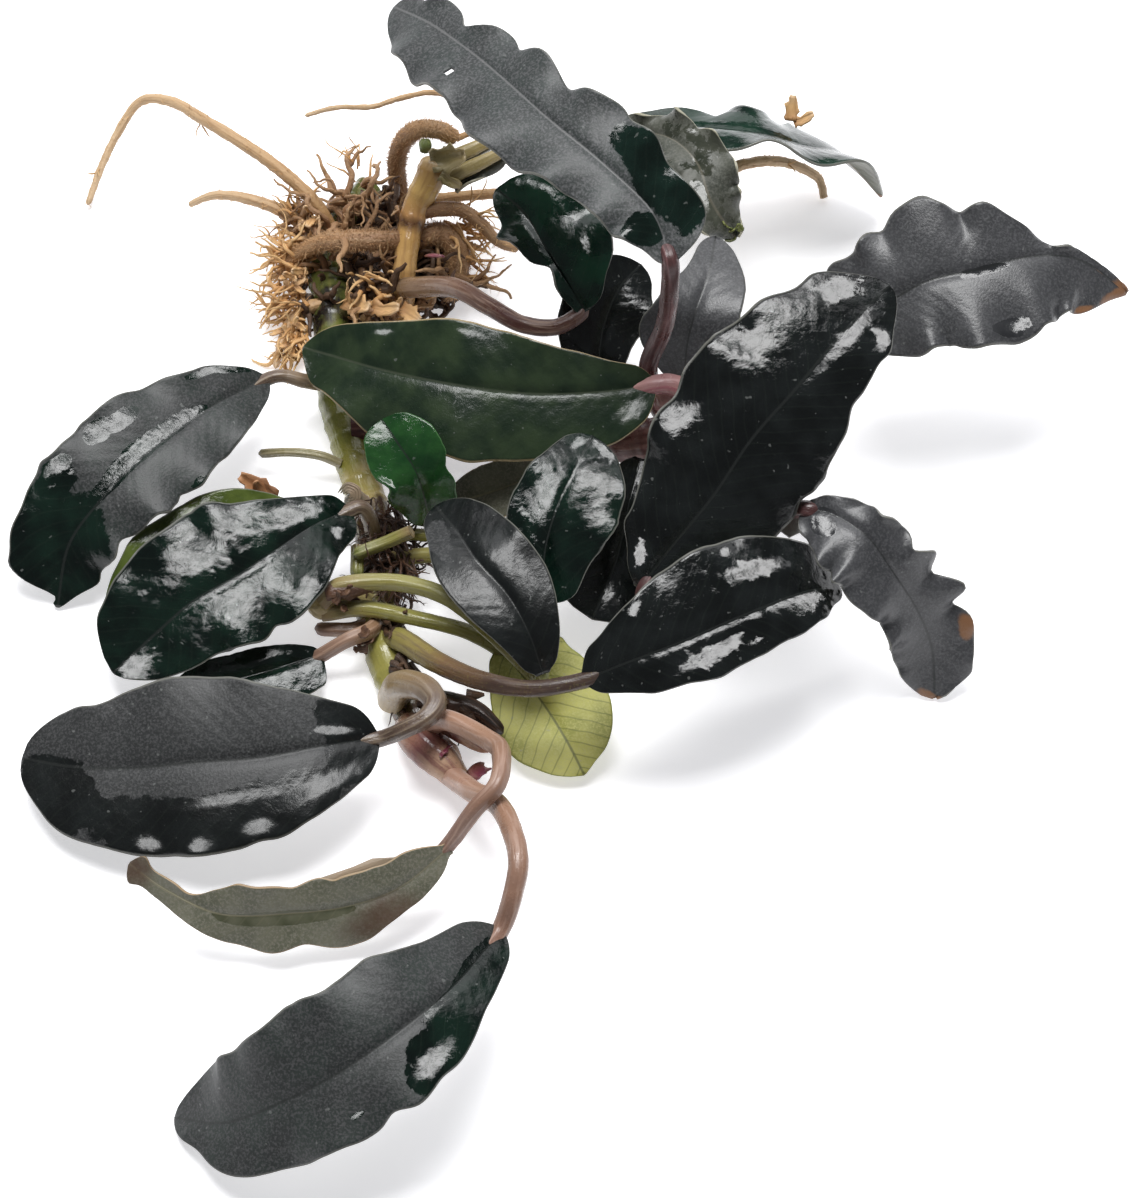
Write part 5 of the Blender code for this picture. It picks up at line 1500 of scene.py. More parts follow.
def make_stem_tree():
    """Build the tree that sweeps and shapes a stem."""
    nodes = NodeTree("grow_stem", {
        "Sides": 20, "Ribs": 0, "Rib Height": 0.0, "Ring Step": 0.006, "Ring Height": 0.0,
        "Lump Height": 0.0, "Lump Size": 0.002, "Floor": 0.0,
    })
    given = nodes.given
    travelled = nodes.add("GeometryNodeSplineParameter").outputs
    path = nodes.keep(given["Geometry"], "along", "FLOAT",
                      nodes.math("DIVIDE", travelled["Length"], MM))
    path = nodes.keep(path, "share", "FLOAT", travelled["Factor"])
    ring = nodes.add("GeometryNodeCurvePrimitiveCircle", Resolution=given["Sides"], Radius=MM)
    where = nodes.add("GeometryNodeInputPosition").outputs[0]
    ring = nodes.keep(ring.outputs[0], "round", "FLOAT_VECTOR",
                      nodes.vector("MULTIPLY", where, (1 / MM, 1 / MM, 1 / MM)))
    thickness = nodes.add("GeometryNodeInputRadius").outputs[0]
    tube = nodes.add("GeometryNodeCurveToMesh", Curve=path, Profile_Curve=ring, Scale=thickness,
                     Fill_Caps=True)

    around = nodes.add("GeometryNodeInputNamedAttribute", {"data_type": "FLOAT_VECTOR"},
                       Name="round").outputs[0]
    turn = nodes.add("ShaderNodeSeparateXYZ", Vector=around).outputs
    angle = nodes.math("ARCTAN2", turn[1], turn[0])
    ribs = nodes.math("COSINE", nodes.math("MULTIPLY", angle, given["Ribs"]))
    ribs = nodes.math("MULTIPLY", ribs, given["Rib Height"])
    along = nodes.add("GeometryNodeInputNamedAttribute", {"data_type": "FLOAT"},
                      Name="along").outputs[0]
    metres = nodes.math("MULTIPLY", along, MM)
    turns = nodes.math("MULTIPLY", nodes.math("DIVIDE", metres, given["Ring Step"]), math.pi)
    sharp = nodes.math("POWER", nodes.math("ABSOLUTE", nodes.math("COSINE", turns)), 14.0)
    rings = nodes.math("MULTIPLY", sharp, given["Ring Height"])
    place = nodes.add("GeometryNodeInputPosition").outputs[0]
    cloud = nodes.add("ShaderNodeTexNoise", Vector=place, Detail=3.0,
                      Scale=nodes.math("DIVIDE", 1.0, given["Lump Size"])).outputs[0]
    lumps = nodes.math("MULTIPLY", nodes.math("SUBTRACT", cloud, 0.5), given["Lump Height"])
    push = nodes.math("ADD", nodes.math("ADD", ribs, rings), nodes.math("MULTIPLY", lumps, 2.0))
    normal = nodes.add("GeometryNodeInputNormal").outputs[0]
    offset = nodes.vector("SCALE", normal, scale=push)
    shaped = nodes.add("GeometryNodeSetPosition", Geometry=tube.outputs[0], Offset=offset)
    lifted = above_table(nodes, shaped.outputs[0], given["Floor"])
    skinned = nodes.add("GeometryNodeSetMaterial", Geometry=lifted, Material=given["Skin"])
    realized = nodes.add("GeometryNodeRealizeInstances", Geometry=skinned.outputs[0])
    nodes.feed(nodes.result, realized.outputs[0])
    return nodes


stem_tree = make_stem_tree()
print("stem tree inputs:", list(stem_tree.keys))

# %% [markdown]
# ## Rhizome, stalks, stubs and main roots
#
# A stalk runs on under its blade as the blade's midrib, so its route gets the first part of
# that midrib, a little under the sheet. A root narrows to a point, and a stub, like every stem
# here, closes like half a ball at its far end. The start of each stem is inside what it grows
# from, so no joint shows.

# %% Lay a path
ROUTE_STEP = 0.35
MIDRIB_SHARE = 0.22
MIDRIB_DEPTH = 0.95
MIDRIB_END_RADIUS = 0.22


def lay_paths(name, paths, step, fewest, keep_off_table=True):
    """Make one curve object of many paths, each (points, its radius at a share of its length)."""
    curve = bpy.data.curves.new(name, "CURVE")
    curve.dimensions = "3D"
    for points, radius_at in paths:
        count = max(fewest, round(route_length(points) / step))
        spline = curve.splines.new("POLY")
        spline.points.add(count - 1)
        for index, point in enumerate(spline.points):
            along = index / (count - 1)
            place = catmull_rom(points, along)
            radius = radius_at(along)
            if keep_off_table:
                place.z = max(place.z, radius + TABLE_CLEARANCE)
            point.co = (*(place * MM), 1)
            point.radius = radius
    return put_in_scene(name, curve)


def round_ended(points, radii):
    """The radius of a stem that closes like half a ball at its far end."""
    length = route_length(points)

    def radius_at(along):
        radius = catmull_rom(radii, along)
        left = (1 - along) * length
        if left < radius:
            radius *= math.sqrt(max(0.02, 1 - (1 - left / radius) ** 2))
        return radius

    return radius_at


def with_midrib(name, rod):
    """The stalk's route, carried on under its blade."""
    points = [Vector(p) for p in rod.route]
    leaf_name = name.replace("stalk_", "leaf_")
    if leaf_name in BLADES:
        blade = BLADES[leaf_name]
        midrib = [Vector(p) for p in blade.midrib]
        for along in (MIDRIB_SHARE / 3, MIDRIB_SHARE * 2 / 3, MIDRIB_SHARE):
            middle, _, outward, _ = leaf_frame(blade, SURFACES[leaf_name], midrib, along)
            points.append(middle - outward * MIDRIB_DEPTH)
    return points


print("a stem is laid in steps of", ROUTE_STEP, "mm")

# %% [markdown]
# ## Growing the stems
#
# The rhizome is ringed and lumpy, the roots have small close lumps, and the stalks and stubs
# have five shallow ribs, which catch the light as long soft lines. Only the numbers differ, so
# one tree grows them all. The rhizome is let down onto the table, where the tree flattens it.

# %% Grow the stems
for node, rod in STEMS.items():
    points = with_midrib(node, rod)
    radii = list(rod.radii)
    if node.startswith("stalk_"):
        radii.append(MIDRIB_END_RADIUS)
    main_stem = node.startswith("rhizome_")
    route = lay_paths(node + "_fine", [(points, round_ended(points, radii))], ROUTE_STEP, 8,
                      keep_off_table=not main_stem)
    settings = {"Skin": skins[STEM_SKINS.get(node, rod.colour)], "Floor": 0.0}
    if main_stem:
        settings.update(Ring_Height=0.16 * MM, Ring_Step=3.2 * MM, Lump_Height=0.20 * MM,
                        Lump_Size=2.2 * MM, Sides=40)
    elif node.startswith("root_"):
        settings.update(Lump_Height=0.18 * MM, Lump_Size=0.9 * MM, Sides=18)
    else:
        settings.update(Ribs=5, Rib_Height=0.05 * MM, Lump_Height=0.08 * MM,
                        Lump_Size=1.8 * MM, Sides=28)
    stem = stem_tree.apply(route, **settings)
    take_place(stem, node)
    print(node, len(stem.data.polygons), "faces")

# %% [markdown]
# ## Root tangle
#
# Behind the leaves, the rhizome disappears in its own roots: brown woolly ones as thick as
# string, fine orange and cream rootlets that once held to the rock, and old black ones deep
# inside, whose darkness also stands in for painted shade between the roots. Nobody could place
# each by hand. A rootlet is walked instead, a short step at a time: each step keeps most of the
# last direction, adds a little chance, and sinks slightly. Half of the longer ones fork once.
# The random numbers are seeded, so the same roots grow each time.

# %% Walk the rootlets
ROOT_SEED = 41
WALK_STEP = 0.55
WALK_DETAIL = 0.3


@dataclass
class Tuft:
    """A place that rootlets start from, where they head, and how many, long and thick."""

    start: tuple
    spread: float
    heading: tuple
    count: int
    reach: tuple
    radius: tuple
    chance: float = 0.55


def tossed(dice, spread):
    """A direction drawn by chance, about as long as the spread."""
    return Vector([dice.gauss(0, spread) for _ in range(3)])


def walk(start, heading, reach, chance, dice):
    """Take short steps from the start, wandering as a root does."""
    place = Vector(start)
    going = Vector(heading).normalized()
    path = [place.copy()]
    for _ in range(max(4, round(reach / WALK_STEP))):
        stray = tossed(dice, 1) * chance * 0.45
        going = (going + stray + Vector((0, 0, -0.04))).normalized()
        place = place + going * WALK_STEP
        place.z = max(place.z, 0.3)
        path.append(place.copy())
    return path


def walk_tufts(tufts, seed):
    """Walk every rootlet of the tufts, and return (path, radius) pairs."""
    dice = random.Random(seed)
    walks = []
    for tuft in tufts:
        for _ in range(tuft.count):
            offset = Vector([dice.uniform(-1, 1) for _ in range(3)])
            start = Vector(tuft.start) + offset * tuft.spread
            heading = Vector(tuft.heading) + tossed(dice, 0.35)
            path = walk(start, heading, dice.uniform(*tuft.reach), tuft.chance, dice)
            walks.append((path, dice.uniform(*tuft.radius)))
            if len(path) > 8 and dice.random() < 0.5:
                fork = path[len(path) // 2]
                branch = walk(fork, tossed(dice, 1), len(path) * WALK_STEP * 0.4, tuft.chance,
                              dice)
                walks.append((branch, walks[-1][1] * 0.6))
    return walks


def lay_walks(name, walks):
    """Make one curve object of all the walks, each thinning towards its tip."""
    paths = [(path, lambda along, thick=radius: thick * (1.0 - 0.75 * along ** 1.5))
             for path, radius in walks]
    return lay_paths(name, paths, WALK_DETAIL, 6)


print("a rootlet takes steps of", WALK_STEP, "mm")

# %% [markdown]
# ## Where the rootlets start
#
# Each tuft is a place, how widely its rootlets start round it, where they head, how many there
# are, and how long and thick they get. Brown and golden tufts cover the back of the rhizome, and
# the last golden ones hang on the long roots. Deep tufts fill the mass from inside with dark
# rootlets that are partly painted shade, and line the rotten places at the front.

# %% Where the rootlets start
BROWN_TUFTS = [
    Tuft((-4, 38, 4), 3.5, (0.1, 0.2, 0.8), 26, (7, 15), (0.30, 0.65), 0.7),
    Tuft((3, 37, 3), 3.5, (0.3, 0.1, 0.6), 26, (7, 15), (0.30, 0.65), 0.7),
    Tuft((-3, 45, 3), 3.0, (0.2, 0.1, 0.8), 16, (6, 12), (0.25, 0.60), 0.7),
    Tuft((8, 33, 2), 2.0, (0.1, 0.0, 1.0), 12, (5, 9), (0.35, 0.70), 0.5),
    Tuft((3, 29, 3), 2.5, (-0.2, 0.2, 0.6), 12, (5, 9), (0.25, 0.50), 0.7),
    Tuft((-8, 42, 5), 1.6, (-0.8, 0.6, 0.5), 9, (4, 8), (0.40, 0.70), 0.35),
]
# Dark rootlets inside the mass: partly old roots, partly painted shade between the roots.
DEEP_TUFTS = [
    Tuft((1, 33, 1.2), 4.0, (0.0, -0.3, 0.3), 46, (5, 10), (0.40, 0.85), 0.8),
    Tuft((6, 35, 1.5), 3.5, (0.3, 0.0, 0.3), 34, (5, 9), (0.40, 0.80), 0.8),
    Tuft((-6, 34, 1.0), 2.8, (-0.2, -0.4, 0.2), 24, (4, 8), (0.35, 0.70), 0.8),
    Tuft((1, 42, 2.0), 4.0, (0.1, 0.3, 0.4), 34, (5, 9), (0.40, 0.80), 0.8),
    Tuft((5, 36, 5.0), 2.0, (0.3, 0.2, 0.5), 16, (3, 6), (0.40, 0.70), 0.8),
    Tuft((3, -19, 4.2), 1.6, (0.3, -0.5, 0.0), 20, (1, 3), (0.30, 0.70)),
    Tuft((4.5, -24, 3.8), 1.2, (0.6, -0.8, 0.0), 16, (1, 3), (0.35, 0.80)),
    Tuft((10, -31, 3.2), 2.2, (0.5, -0.6, 0.1), 26, (1.5, 4), (0.35, 0.90)),
]
GOLD_TUFTS = [
    Tuft((-9, 37, 4), 2.0, (-1.0, -0.1, 0.2), 40, (4, 8.5), (0.14, 0.40)),
    Tuft((-9, 42, 7), 1.5, (-0.5, 0.5, 0.3), 14, (3, 6), (0.12, 0.28)),
    Tuft((-10, 31, 3), 2.2, (-0.8, -0.5, 0.1), 44, (3, 7), (0.16, 0.42)),
    Tuft((-9.5, 26, 2), 1.8, (-0.2, -1.0, 0.1), 34, (3, 7), (0.16, 0.40)),
    Tuft((10, 39, 7), 1.6, (1.0, -0.1, 0.2), 22, (4, 8), (0.14, 0.32), 0.35),
    Tuft((12, 35, 5), 1.4, (1.0, -0.2, 0.3), 14, (3, 6), (0.08, 0.20), 0.5),
    Tuft((-2, 49, 7), 1.4, (0.0, 1.0, 0.4), 7, (3, 6), (0.10, 0.20), 0.4),
    Tuft((-22, 54, 10.8), 0.25, (0.1, -0.7, -0.4), 3, (2, 4), (0.10, 0.18)),
    Tuft((-35, 52, 2.9), 0.25, (-0.4, -0.5, -0.2), 3, (1.5, 3), (0.08, 0.14)),
    Tuft((51, 50.4, 6.4), 0.25, (0.5, 0.1, -0.3), 3, (1.5, 3), (0.10, 0.20)),
    Tuft((0, 30, 5), 2.8, (-0.3, -0.5, 0.3), 34, (2, 5), (0.16, 0.42)),
]

brown_walks = walk_tufts(BROWN_TUFTS, ROOT_SEED)
gold_walks = walk_tufts(GOLD_TUFTS, ROOT_SEED + 1)
deep_walks = walk_tufts(DEEP_TUFTS, ROOT_SEED + 4)
print("walks:", len(brown_walks), "brown,", len(gold_walks), "golden and", len(deep_walks), "deep")

# %% [markdown]
# ## Sweeping the rootlets
#
# The stem tree sweeps all the walks of a kind at once, and each kind becomes one piece. The
# rings that are swept have only a few sides, because there are hundreds of rootlets.

# %% Sweep the rootlets
TANGLES = {
    "brown_root_tangle": (brown_walks, "root_skin", "root_skin", 8),
    "golden_rootlets": (gold_walks, "gold_root", "pale_root", 6),
    "deep_root_tangle": (deep_walks, "deep_root", "dark_rhizome", 7),
}
for name, (walks, skin_name, slot, sides) in TANGLES.items():
    tangle = stem_tree.apply(lay_walks(name, walks), Skin=skins[skin_name], Sides=sides,
                             Lump_Height=0.09 * MM, Lump_Size=0.6 * MM)
    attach(tangle, "root")
    print(name, len(tangle.data.polygons), "faces")

# %% [markdown]
# ## Root wool
#
# The thick brown roots are woolly with root hairs. A second node tree scatters points over a
# root's skin and stands a short bent hair on each, turned and sized by chance with a fixed
# seed. It is the usual way to cover a surface with small things. The hairs are real tapering
# tubes, few-sided because there are thousands of them.

# %% Wool node tree
def make_wool_tree():
    """Build the tree that covers a root with hairs."""
    nodes = NodeTree("root_wool", {
        "Density": 2.0e6, "Hair Length": 0.0009, "Hair Radius": 0.00004, "Lean": 0.9,
        "Floor": 0.0, "Seed": 3,
    })
    given = nodes.given
    line = nodes.add("GeometryNodeCurvePrimitiveLine", {"mode": "DIRECTION"},
                     Direction=(0, 0, 1), Length=given["Hair Length"])
    line = nodes.add("GeometryNodeResampleCurve", Curve=line.outputs[0], Count=4).outputs[0]
    share = nodes.add("GeometryNodeSplineParameter").outputs["Factor"]
    bend = nodes.math("MULTIPLY", nodes.math("POWER", share, 2.0),
                      nodes.math("MULTIPLY", given["Hair Length"], 0.4))
    sideways = nodes.add("ShaderNodeCombineXYZ", X=bend).outputs[0]
    line = nodes.add("GeometryNodeSetPosition", Geometry=line, Offset=sideways).outputs[0]
    ring = nodes.add("GeometryNodeCurvePrimitiveCircle", Resolution=3, Radius=1.0)
    thin = nodes.math("MULTIPLY", given["Hair Radius"],
                      nodes.math("SUBTRACT", 1.0, nodes.math("MULTIPLY", share, 0.8)))
    hair = nodes.add("GeometryNodeCurveToMesh", Curve=line, Profile_Curve=ring.outputs[0],
                     Scale=thin, Fill_Caps=True).outputs[0]
    points = nodes.add("GeometryNodeDistributePointsOnFaces", Mesh=given["Geometry"],
                       Density=given["Density"], Seed=given["Seed"])
    dice = nodes.add("FunctionNodeRandomValue", {"data_type": "FLOAT_VECTOR"})
    for socket, limit in zip(dice.inputs, ((-1, -1, -4), (1, 1, 4))):
        nodes.feed(socket, nodes.vector("SCALE", limit, scale=given["Lean"]))
    nodes.feed(dice.inputs["Seed"], given["Seed"])
    lean = nodes.add("FunctionNodeEulerToRotation", Euler=dice.outputs[0]).outputs[0]
    turned = nodes.add("FunctionNodeRotateRotation", {"rotation_space": "LOCAL"},
                       Rotation=points.outputs["Rotation"], Rotate_By=lean).outputs[0]
    size = nodes.add("FunctionNodeRandomValue", {"data_type": "FLOAT"})
    nodes.feed(size.inputs[2], 0.35)
    nodes.feed(size.inputs[3], 1.0)
    hairs = nodes.add("GeometryNodeInstanceOnPoints", Points=points.outputs[0], Instance=hair,
                      Rotation=turned, Scale=size.outputs[1])
    realized = nodes.add("GeometryNodeRealizeInstances", Geometry=hairs.outputs[0])
    lifted = above_table(nodes, realized.outputs[0], given["Floor"])
    skinned = nodes.add("GeometryNodeSetMaterial", Geometry=lifted, Material=given["Skin"])
    nodes.feed(nodes.result, skinned.outputs[0])
    return nodes


wool_tree = make_wool_tree()


def grow_wool(name, grown, skin_name, **values):
    """Cover a copy of a finished root with hairs and keep only the hairs."""
    copy = put_in_scene(name, grown.data.copy())
    wool = wool_tree.apply(copy, Skin=skins[skin_name], **values)
    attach(wool, "root")
    return wool


WOOL = {
    "root_arch": (1.2e7, 0.55), "root_brown": (1.1e7, 0.65), "root_middle": (9.0e6, 0.7),
    "root_right": (3.0e6, 0.8), "root_long": (0.5e6, 1.2), "root_second": (0.7e6, 1.2),
    "root_left_down": (1.5e6, 1.3), "root_back_right": (0.5e6, 0.9),
}
for seed, (node, (density, long)) in enumerate(WOOL.items()):
    woolly = bpy.data.objects[node + "_fine"]
    tone = "wool" if density > 4.0e6 else "gold_root"
    wool = grow_wool(node + "_wool", woolly, tone, Density=density, Hair_Length=long * MM,
                     Hair_Radius=0.06 * MM, Seed=seed + 5)
    print(wool.name, len(wool.data.polygons), "faces")
tangle_wool = grow_wool("tangle_wool", bpy.data.objects["brown_root_tangle"], "wool",
                        Density=0.8e6, Hair_Length=1.0 * MM, Hair_Radius=0.04 * MM, Seed=31)
print("tangle wool:", len(tangle_wool.data.polygons), "faces")

# %% [markdown]
# ## Old fibres on the rhizome
#
# In front of the leafy part, the rhizome is wrapped in the dark threads of roots that died. They
# are short walks again, laid close over the stem.

# %% Lay the fibres
FIBRE_TUFTS = [
    Tuft((1.5, -3, 4), 2.2, (0.4, -1.0, 0.1), 60, (3, 6), (0.10, 0.24), 0.8),
    Tuft((3.0, -7, 3.5), 2.8, (0.2, -1.0, 0.1), 90, (3, 7), (0.10, 0.26), 0.8),
    Tuft((3.5, -11, 3.5), 2.6, (-0.2, -0.8, 0.1), 80, (3, 6), (0.10, 0.24), 0.8),
    Tuft((6.5, -6, 3), 1.6, (0.6, 0.4, 0.2), 16, (2, 5), (0.08, 0.16), 0.8),
    Tuft((12, -33, 4), 1.2, (0.5, -0.3, -0.2), 14, (1.5, 3.5), (0.12, 0.30), 0.8),
    Tuft((4.5, -29, 4), 1.0, (0.3, -0.8, 0.2), 10, (1.5, 3), (0.10, 0.22), 0.8),
]
fibres = stem_tree.apply(lay_walks("old_root_fibres", walk_tufts(FIBRE_TUFTS, ROOT_SEED + 2)),
                         Skin=skins["fibre"], Sides=6, Lump_Height=0.05 * MM,
                         Lump_Size=0.4 * MM)
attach(fibres, "root")
print("fibres:", len(fibres.data.polygons), "faces")

# %% [markdown]
# ## Thin flakes
#
# Between the large parts lie small thin ones, such as papery scales that once wrapped buds. All
# are the same thing to a maker: a small pointed sheet that bends along its length and cups
# across it. One function shapes such a flake, so each one is noted as a line of numbers, and
# each kind becomes one piece.

# %% Shape a flake
FLAKE_ROWS = 9
FLAKE_COLUMNS = 5
FLAKE_THICKNESS = 0.22


@dataclass
class Flake:
    """A small thin piece: its start, where it heads and faces, its size in mm and its bend."""

    start: tuple
    heading: tuple
    facing: tuple
    length: float
    width: float
    curl: float = 0.5
    cup: float = 0.35


def lay_flakes(name, flakes, skin_name):
    """Shape the flakes of one kind and make one piece of them."""
    sheet = bmesh.new()
    along_of = sheet.verts.layers.float.new("along")
    share_of = sheet.verts.layers.float.new("share")
    round_of = sheet.verts.layers.float_vector.new("round")
    for number, flake in enumerate(flakes):
        forward = Vector(flake.heading).normalized()
        sideways = forward.cross(Vector(flake.facing)).normalized()
        outward = sideways.cross(forward)
        rows = []
        for row in range(FLAKE_ROWS):
            share = row / (FLAKE_ROWS - 1)
            bend = flake.curl * share
            reach = math.sin(bend) / flake.curl * flake.length
            rise = (1 - math.cos(bend)) / flake.curl * flake.length
            taper = max(0.3, math.sin(math.pi * (0.25 + 0.7 * share)) ** 0.5)
            line = []
            for column in range(FLAKE_COLUMNS):
                across = column / (FLAKE_COLUMNS - 1) * 2 - 1
                ragged = 1 + 0.9 * noise.noise(Vector((number * 7.3, share * 6, across)))
                half = flake.width / 2 * taper * ragged
                lift = rise + flake.cup * half * across ** 2
                place = (Vector(flake.start) + forward * reach + sideways * across * half
                         + outward * lift)
                place.z = max(place.z, FLAKE_THICKNESS)
                vert = sheet.verts.new(place * MM)
                vert[along_of] = share * flake.length
                vert[share_of] = share
                vert[round_of] = (across, number, 0.0)
                line.append(vert)
            rows.append(line)
        for before, after in zip(rows, rows[1:]):
            for left in range(FLAKE_COLUMNS - 1):
                sheet.faces.new((before[left], before[left + 1], after[left + 1], after[left]))
    scrap, _ = with_thickness(name, sheet, FLAKE_THICKNESS)
    scrap.data.materials.append(skins[skin_name])
    piece = settle(scrap)
    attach(piece, "root")
    print(name, len(flakes), "flakes")


print("a flake has", FLAKE_ROWS * FLAKE_COLUMNS, "points")

# %% [markdown]
# ## Scales, sheaths and scraps
#
# The pale papery scales lie in the root mass. An orange scale lies by the light green leaf, a
# split sheath tops the upright shoot, and a lilac sheath wraps the start of the green leaf.
# There are green scraps on the shoot and on the curled leaf's tip, a pale sprout by the leaf at
# the back, a grey lobe by the drooping leaf, brown scab on the old stalks, magenta bud scales at
# the front and one in the roots, and the pale edge of the leaf that shows its underside. Most
# are set one by one where they are seen. Where there are many alike, they are thrown by chance.

# %% Lay the scales, sheaths and scraps
ON_TOP = (0, -0.45, 1)
scatter = random.Random(ROOT_SEED + 3)


def scattered(middle, spread, count, length, width):
    """Flakes thrown about a middle point."""
    thrown = []
    for _ in range(count):
        start = Vector(middle) + tossed(scatter, 0.5) * spread
        start.z = max(start.z, 0.5)
        heading = [scatter.uniform(-1, 1), scatter.uniform(-1, 1), scatter.uniform(-0.2, 0.5)]
        facing = [scatter.uniform(-0.6, 0.6), scatter.uniform(-1, 0.2), 1.0]
        size = scatter.uniform(0.6, 1.2)
        thrown.append(Flake(start, heading, facing, length * size, width * size,
                            scatter.uniform(0.3, 1.3)))
    return thrown


lay_flakes("papery_scales", [
    Flake((-3.5, 29.0, 5.5), (0.8, -0.5, 0.2), ON_TOP, 4.5, 2.4),
    Flake((0.0, 27.5, 6.0), (0.9, -0.2, 0.2), ON_TOP, 4.0, 2.0),
    Flake((3.5, 27.0, 6.5), (0.6, -0.6, 0.1), ON_TOP, 4.0, 2.0),
    Flake((5.5, 29.5, 7.0), (0.9, -0.2, 0.2), ON_TOP, 4.0, 2.2),
    *scattered((-9.5, 33, 4), 2.6, 18, 2.0, 0.8),
    *scattered((-10, 26, 3), 1.8, 12, 1.8, 0.7),
    *scattered((-8, 39, 7), 2.4, 14, 2.0, 0.8),
    *scattered((1.5, 29, 5), 3.0, 14, 2.0, 0.9),
    *scattered((12, 36, 7), 1.6, 5, 1.8, 0.7),
], "paper")
lay_flakes("orange_scale", [
    Flake((-11.0, -1.0, 5.2), (-0.85, 0.5, 0.1), ON_TOP, 5.4, 2.2, 0.9, 0.9),
    Flake((-12.0, -1.6, 5.0), (-0.5, 0.8, 0.3), ON_TOP, 3.8, 1.7, 1.4, -0.6),
], "orange_paper")
lay_flakes("shoot_sheath", [
    Flake((7.2, 42.2, 16.6), (0.9, 0.2, 0.1), (0, -0.7, 0.7), 4.6, 3.0, 0.7, 0.8),
    Flake((8.4, 40.6, 16.0), (0.8, -0.3, -0.4), (0, -0.7, 0.7), 3.2, 1.5, -0.6, 0.6),
], "cream_sheath")
lay_flakes("lilac_sheath", [
    Flake((39.5, 3.0, 16.5), (-0.8, 0.2, 0.6), (0, -0.7, 0.7), 7.0, 3.6, -0.3, -0.5),
    Flake((39.0, 1.5, 16.0), (-0.85, -0.1, 0.5), (0, -0.7, 0.7), 5.0, 2.4, -0.3, -0.5),
], "lilac_stalk")
lay_flakes("green_scraps", [
    *scattered((9.2, 43.8, 15.2), 1.3, 9, 1.8, 1.1),
    *scattered((44.0, 32.0, 15.4), 0.8, 6, 1.8, 1.2),
], "moss")
lay_flakes("pale_sprout", [
    Flake((51.8, 50.2, 14.8), (0.1, 0.85, 0.5), (0, -0.5, 0.85), 3.2, 1.6, 0.4),
    Flake((52.2, 50.0, 14.6), (0.9, 0.25, 0.3), (0, -0.4, 0.9), 2.8, 1.5, 0.4),
], "paper")
lay_flakes("grey_lobe", [
    Flake((48.5, -9.5, 18), (0.45, -0.75, -0.6), (0, -0.6, 0.8), 5.5, 3.8, 0.5, 0.3),
], "grey_paper")
lay_flakes("brown_scab", [
    Flake((-4.6, -17.2, 8.8), (0.97, 0.12, 0.16), ON_TOP, 7.0, 2.2, -0.25, -0.6),
    *scattered((-2.5, -16.5, 7.2), 1.8, 8, 2.0, 1.0),
    *scattered((0, -20.5, 4), 2.0, 8, 2.0, 1.1),
], "scab")
lay_flakes("magenta_bud", [
    Flake((13.0, -39.5, 5.5), (0.5, -0.8, 0.2), ON_TOP, 3.4, 2.4, 0.8, -0.4),
    Flake((15.5, -41.5, 5.5), (0.7, -0.5, 0.3), ON_TOP, 3.0, 2.0, 0.9, -0.4),
    Flake((8.5, -36.5, 5.6), (0.5, -0.8, 0.2), ON_TOP, 3.0, 2.2, 0.6, -0.5),
    Flake((7.0, 32.0, 11), (0.6, -0.5, 0.8), (0.5, -1, 0.2), 3.2, 1.4, 0.3),
], "magenta")
lay_flakes("underside_rim", [
    Flake((9.0, -53.4, 8.0), (-0.97, -0.24, -0.10), (0.1, -0.5, 1.0), 19.0, 2.4, -0.2, 0.2),
], "rim_skin")

# %% [markdown]
# ## Bud, ringed stub, leaf necks and front sheath
#
# A few small parts are round: one green bud like a bead, a stub ringed by four arcs where a
# leaf fell, the two pale necks that carry the leaves at the upper right, and the pink sheath at
# the growing end. They are short rods, blunt at both ends, so the stem tree sweeps them too.

# %% Lay the bud, the ringed stub, the leaf necks and the front sheath
CRESCENT_ANGLES = (-110, -40, 30, 100, 170)
SCRAP_STEP = 0.25


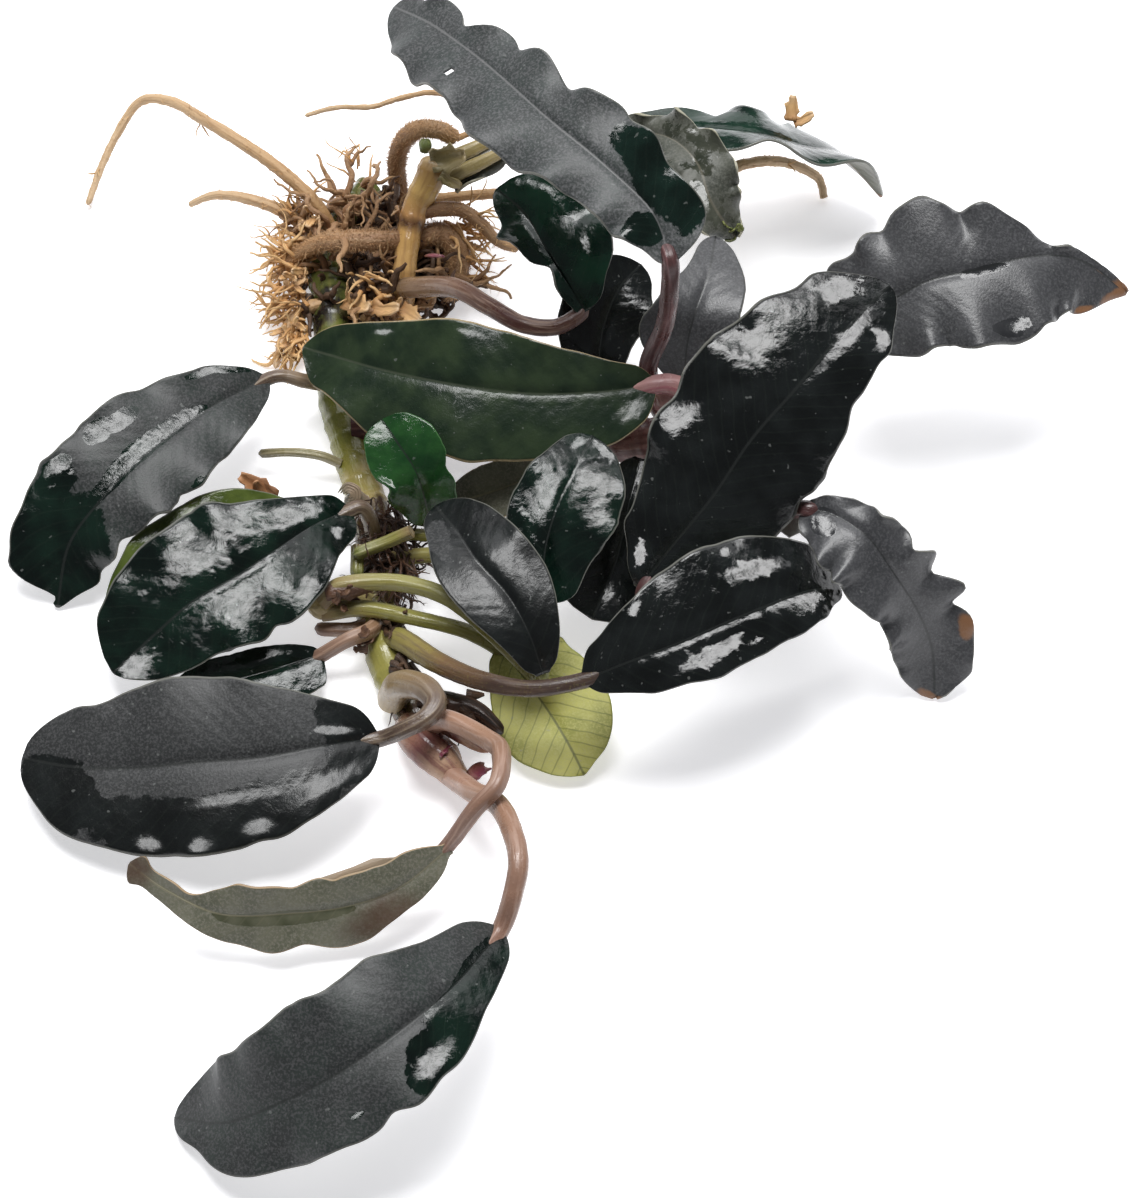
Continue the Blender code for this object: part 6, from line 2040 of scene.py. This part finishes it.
def crescent(middle, radius):
    """Points of an arc that stands square to the camera, open at its lower left."""
    rise, lean = math.cos(CAMERA_ELEVATION), math.sin(CAMERA_ELEVATION)
    points = []
    for degrees in CRESCENT_ANGLES:
        right = radius * math.cos(math.radians(degrees))
        up = radius * math.sin(math.radians(degrees))
        points.append((middle[0] + right, middle[1] + up * lean, middle[2] + up * rise))
    return points


SCRAPS = {
    "green_bud": ("bud_green", [
        Rod([(6.2, 44.4, 15.6), (6.5, 44.8, 16.6), (6.6, 45.0, 17.4)], [0.5, 0.85, 0.5]),
    ]),
    "ringed_scar": ("rim_skin", [
        Rod([(0.5, -1.0, 2.6), (-1.0, -0.9, 4.2), (-2.1, -0.7, 5.6)], [1.2, 1.4, 1.3]),
        *(Rod(crescent((-2.2, -1.2, 6.4), 0.35 + 0.34 * ring), [0.10, 0.17, 0.17, 0.10])
          for ring in range(4)),
    ]),
    "leaf_necks": ("cream_sheath", [
        Rod([(8.4, 43.6, 14.6), (12.0, 45.2, 15.2), (16.0, 47.0, 15.9)], [1.1, 0.95, 0.7]),
        Rod([(8.6, 41.4, 14.0), (12.5, 42.5, 15.4), (16.5, 43.8, 16.8)], [1.1, 0.95, 0.7]),
    ]),
    "front_sheath": ("peach_skin", [
        Rod([(5.0, -31.0, 2.8), (6.4, -34.5, 4.0), (9.4, -38.2, 4.4), (13.0, -41.4, 3.6)],
            [1.5, 2.3, 2.1, 0.8]),
        Rod([(9.0, -33.0, 5.0), (12.0, -35.6, 6.8), (15.0, -39.0, 8.0)], [1.1, 1.5, 0.9]),
    ]),
}


def blunt_ended(radii):
    """The radius of a rod that rounds off at both ends."""
    def radius_at(along):
        return catmull_rom(radii, along) * math.sqrt(
            max(0.06, min(1.0, 1 - (2 * along - 1) ** 8)))

    return radius_at


for name, (skin_name, rods) in SCRAPS.items():
    paths = [([Vector(p) for p in rod.route], blunt_ended(rod.radii)) for rod in rods]
    scrap = stem_tree.apply(lay_paths(name, paths, SCRAP_STEP, 8), Skin=skins[skin_name],
                            Sides=18, Ribs=4, Rib_Height=0.06 * MM, Lump_Height=0.12 * MM,
                            Lump_Size=1.2 * MM)
    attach(scrap, "root")
    print(name, len(scrap.data.polygons), "faces")
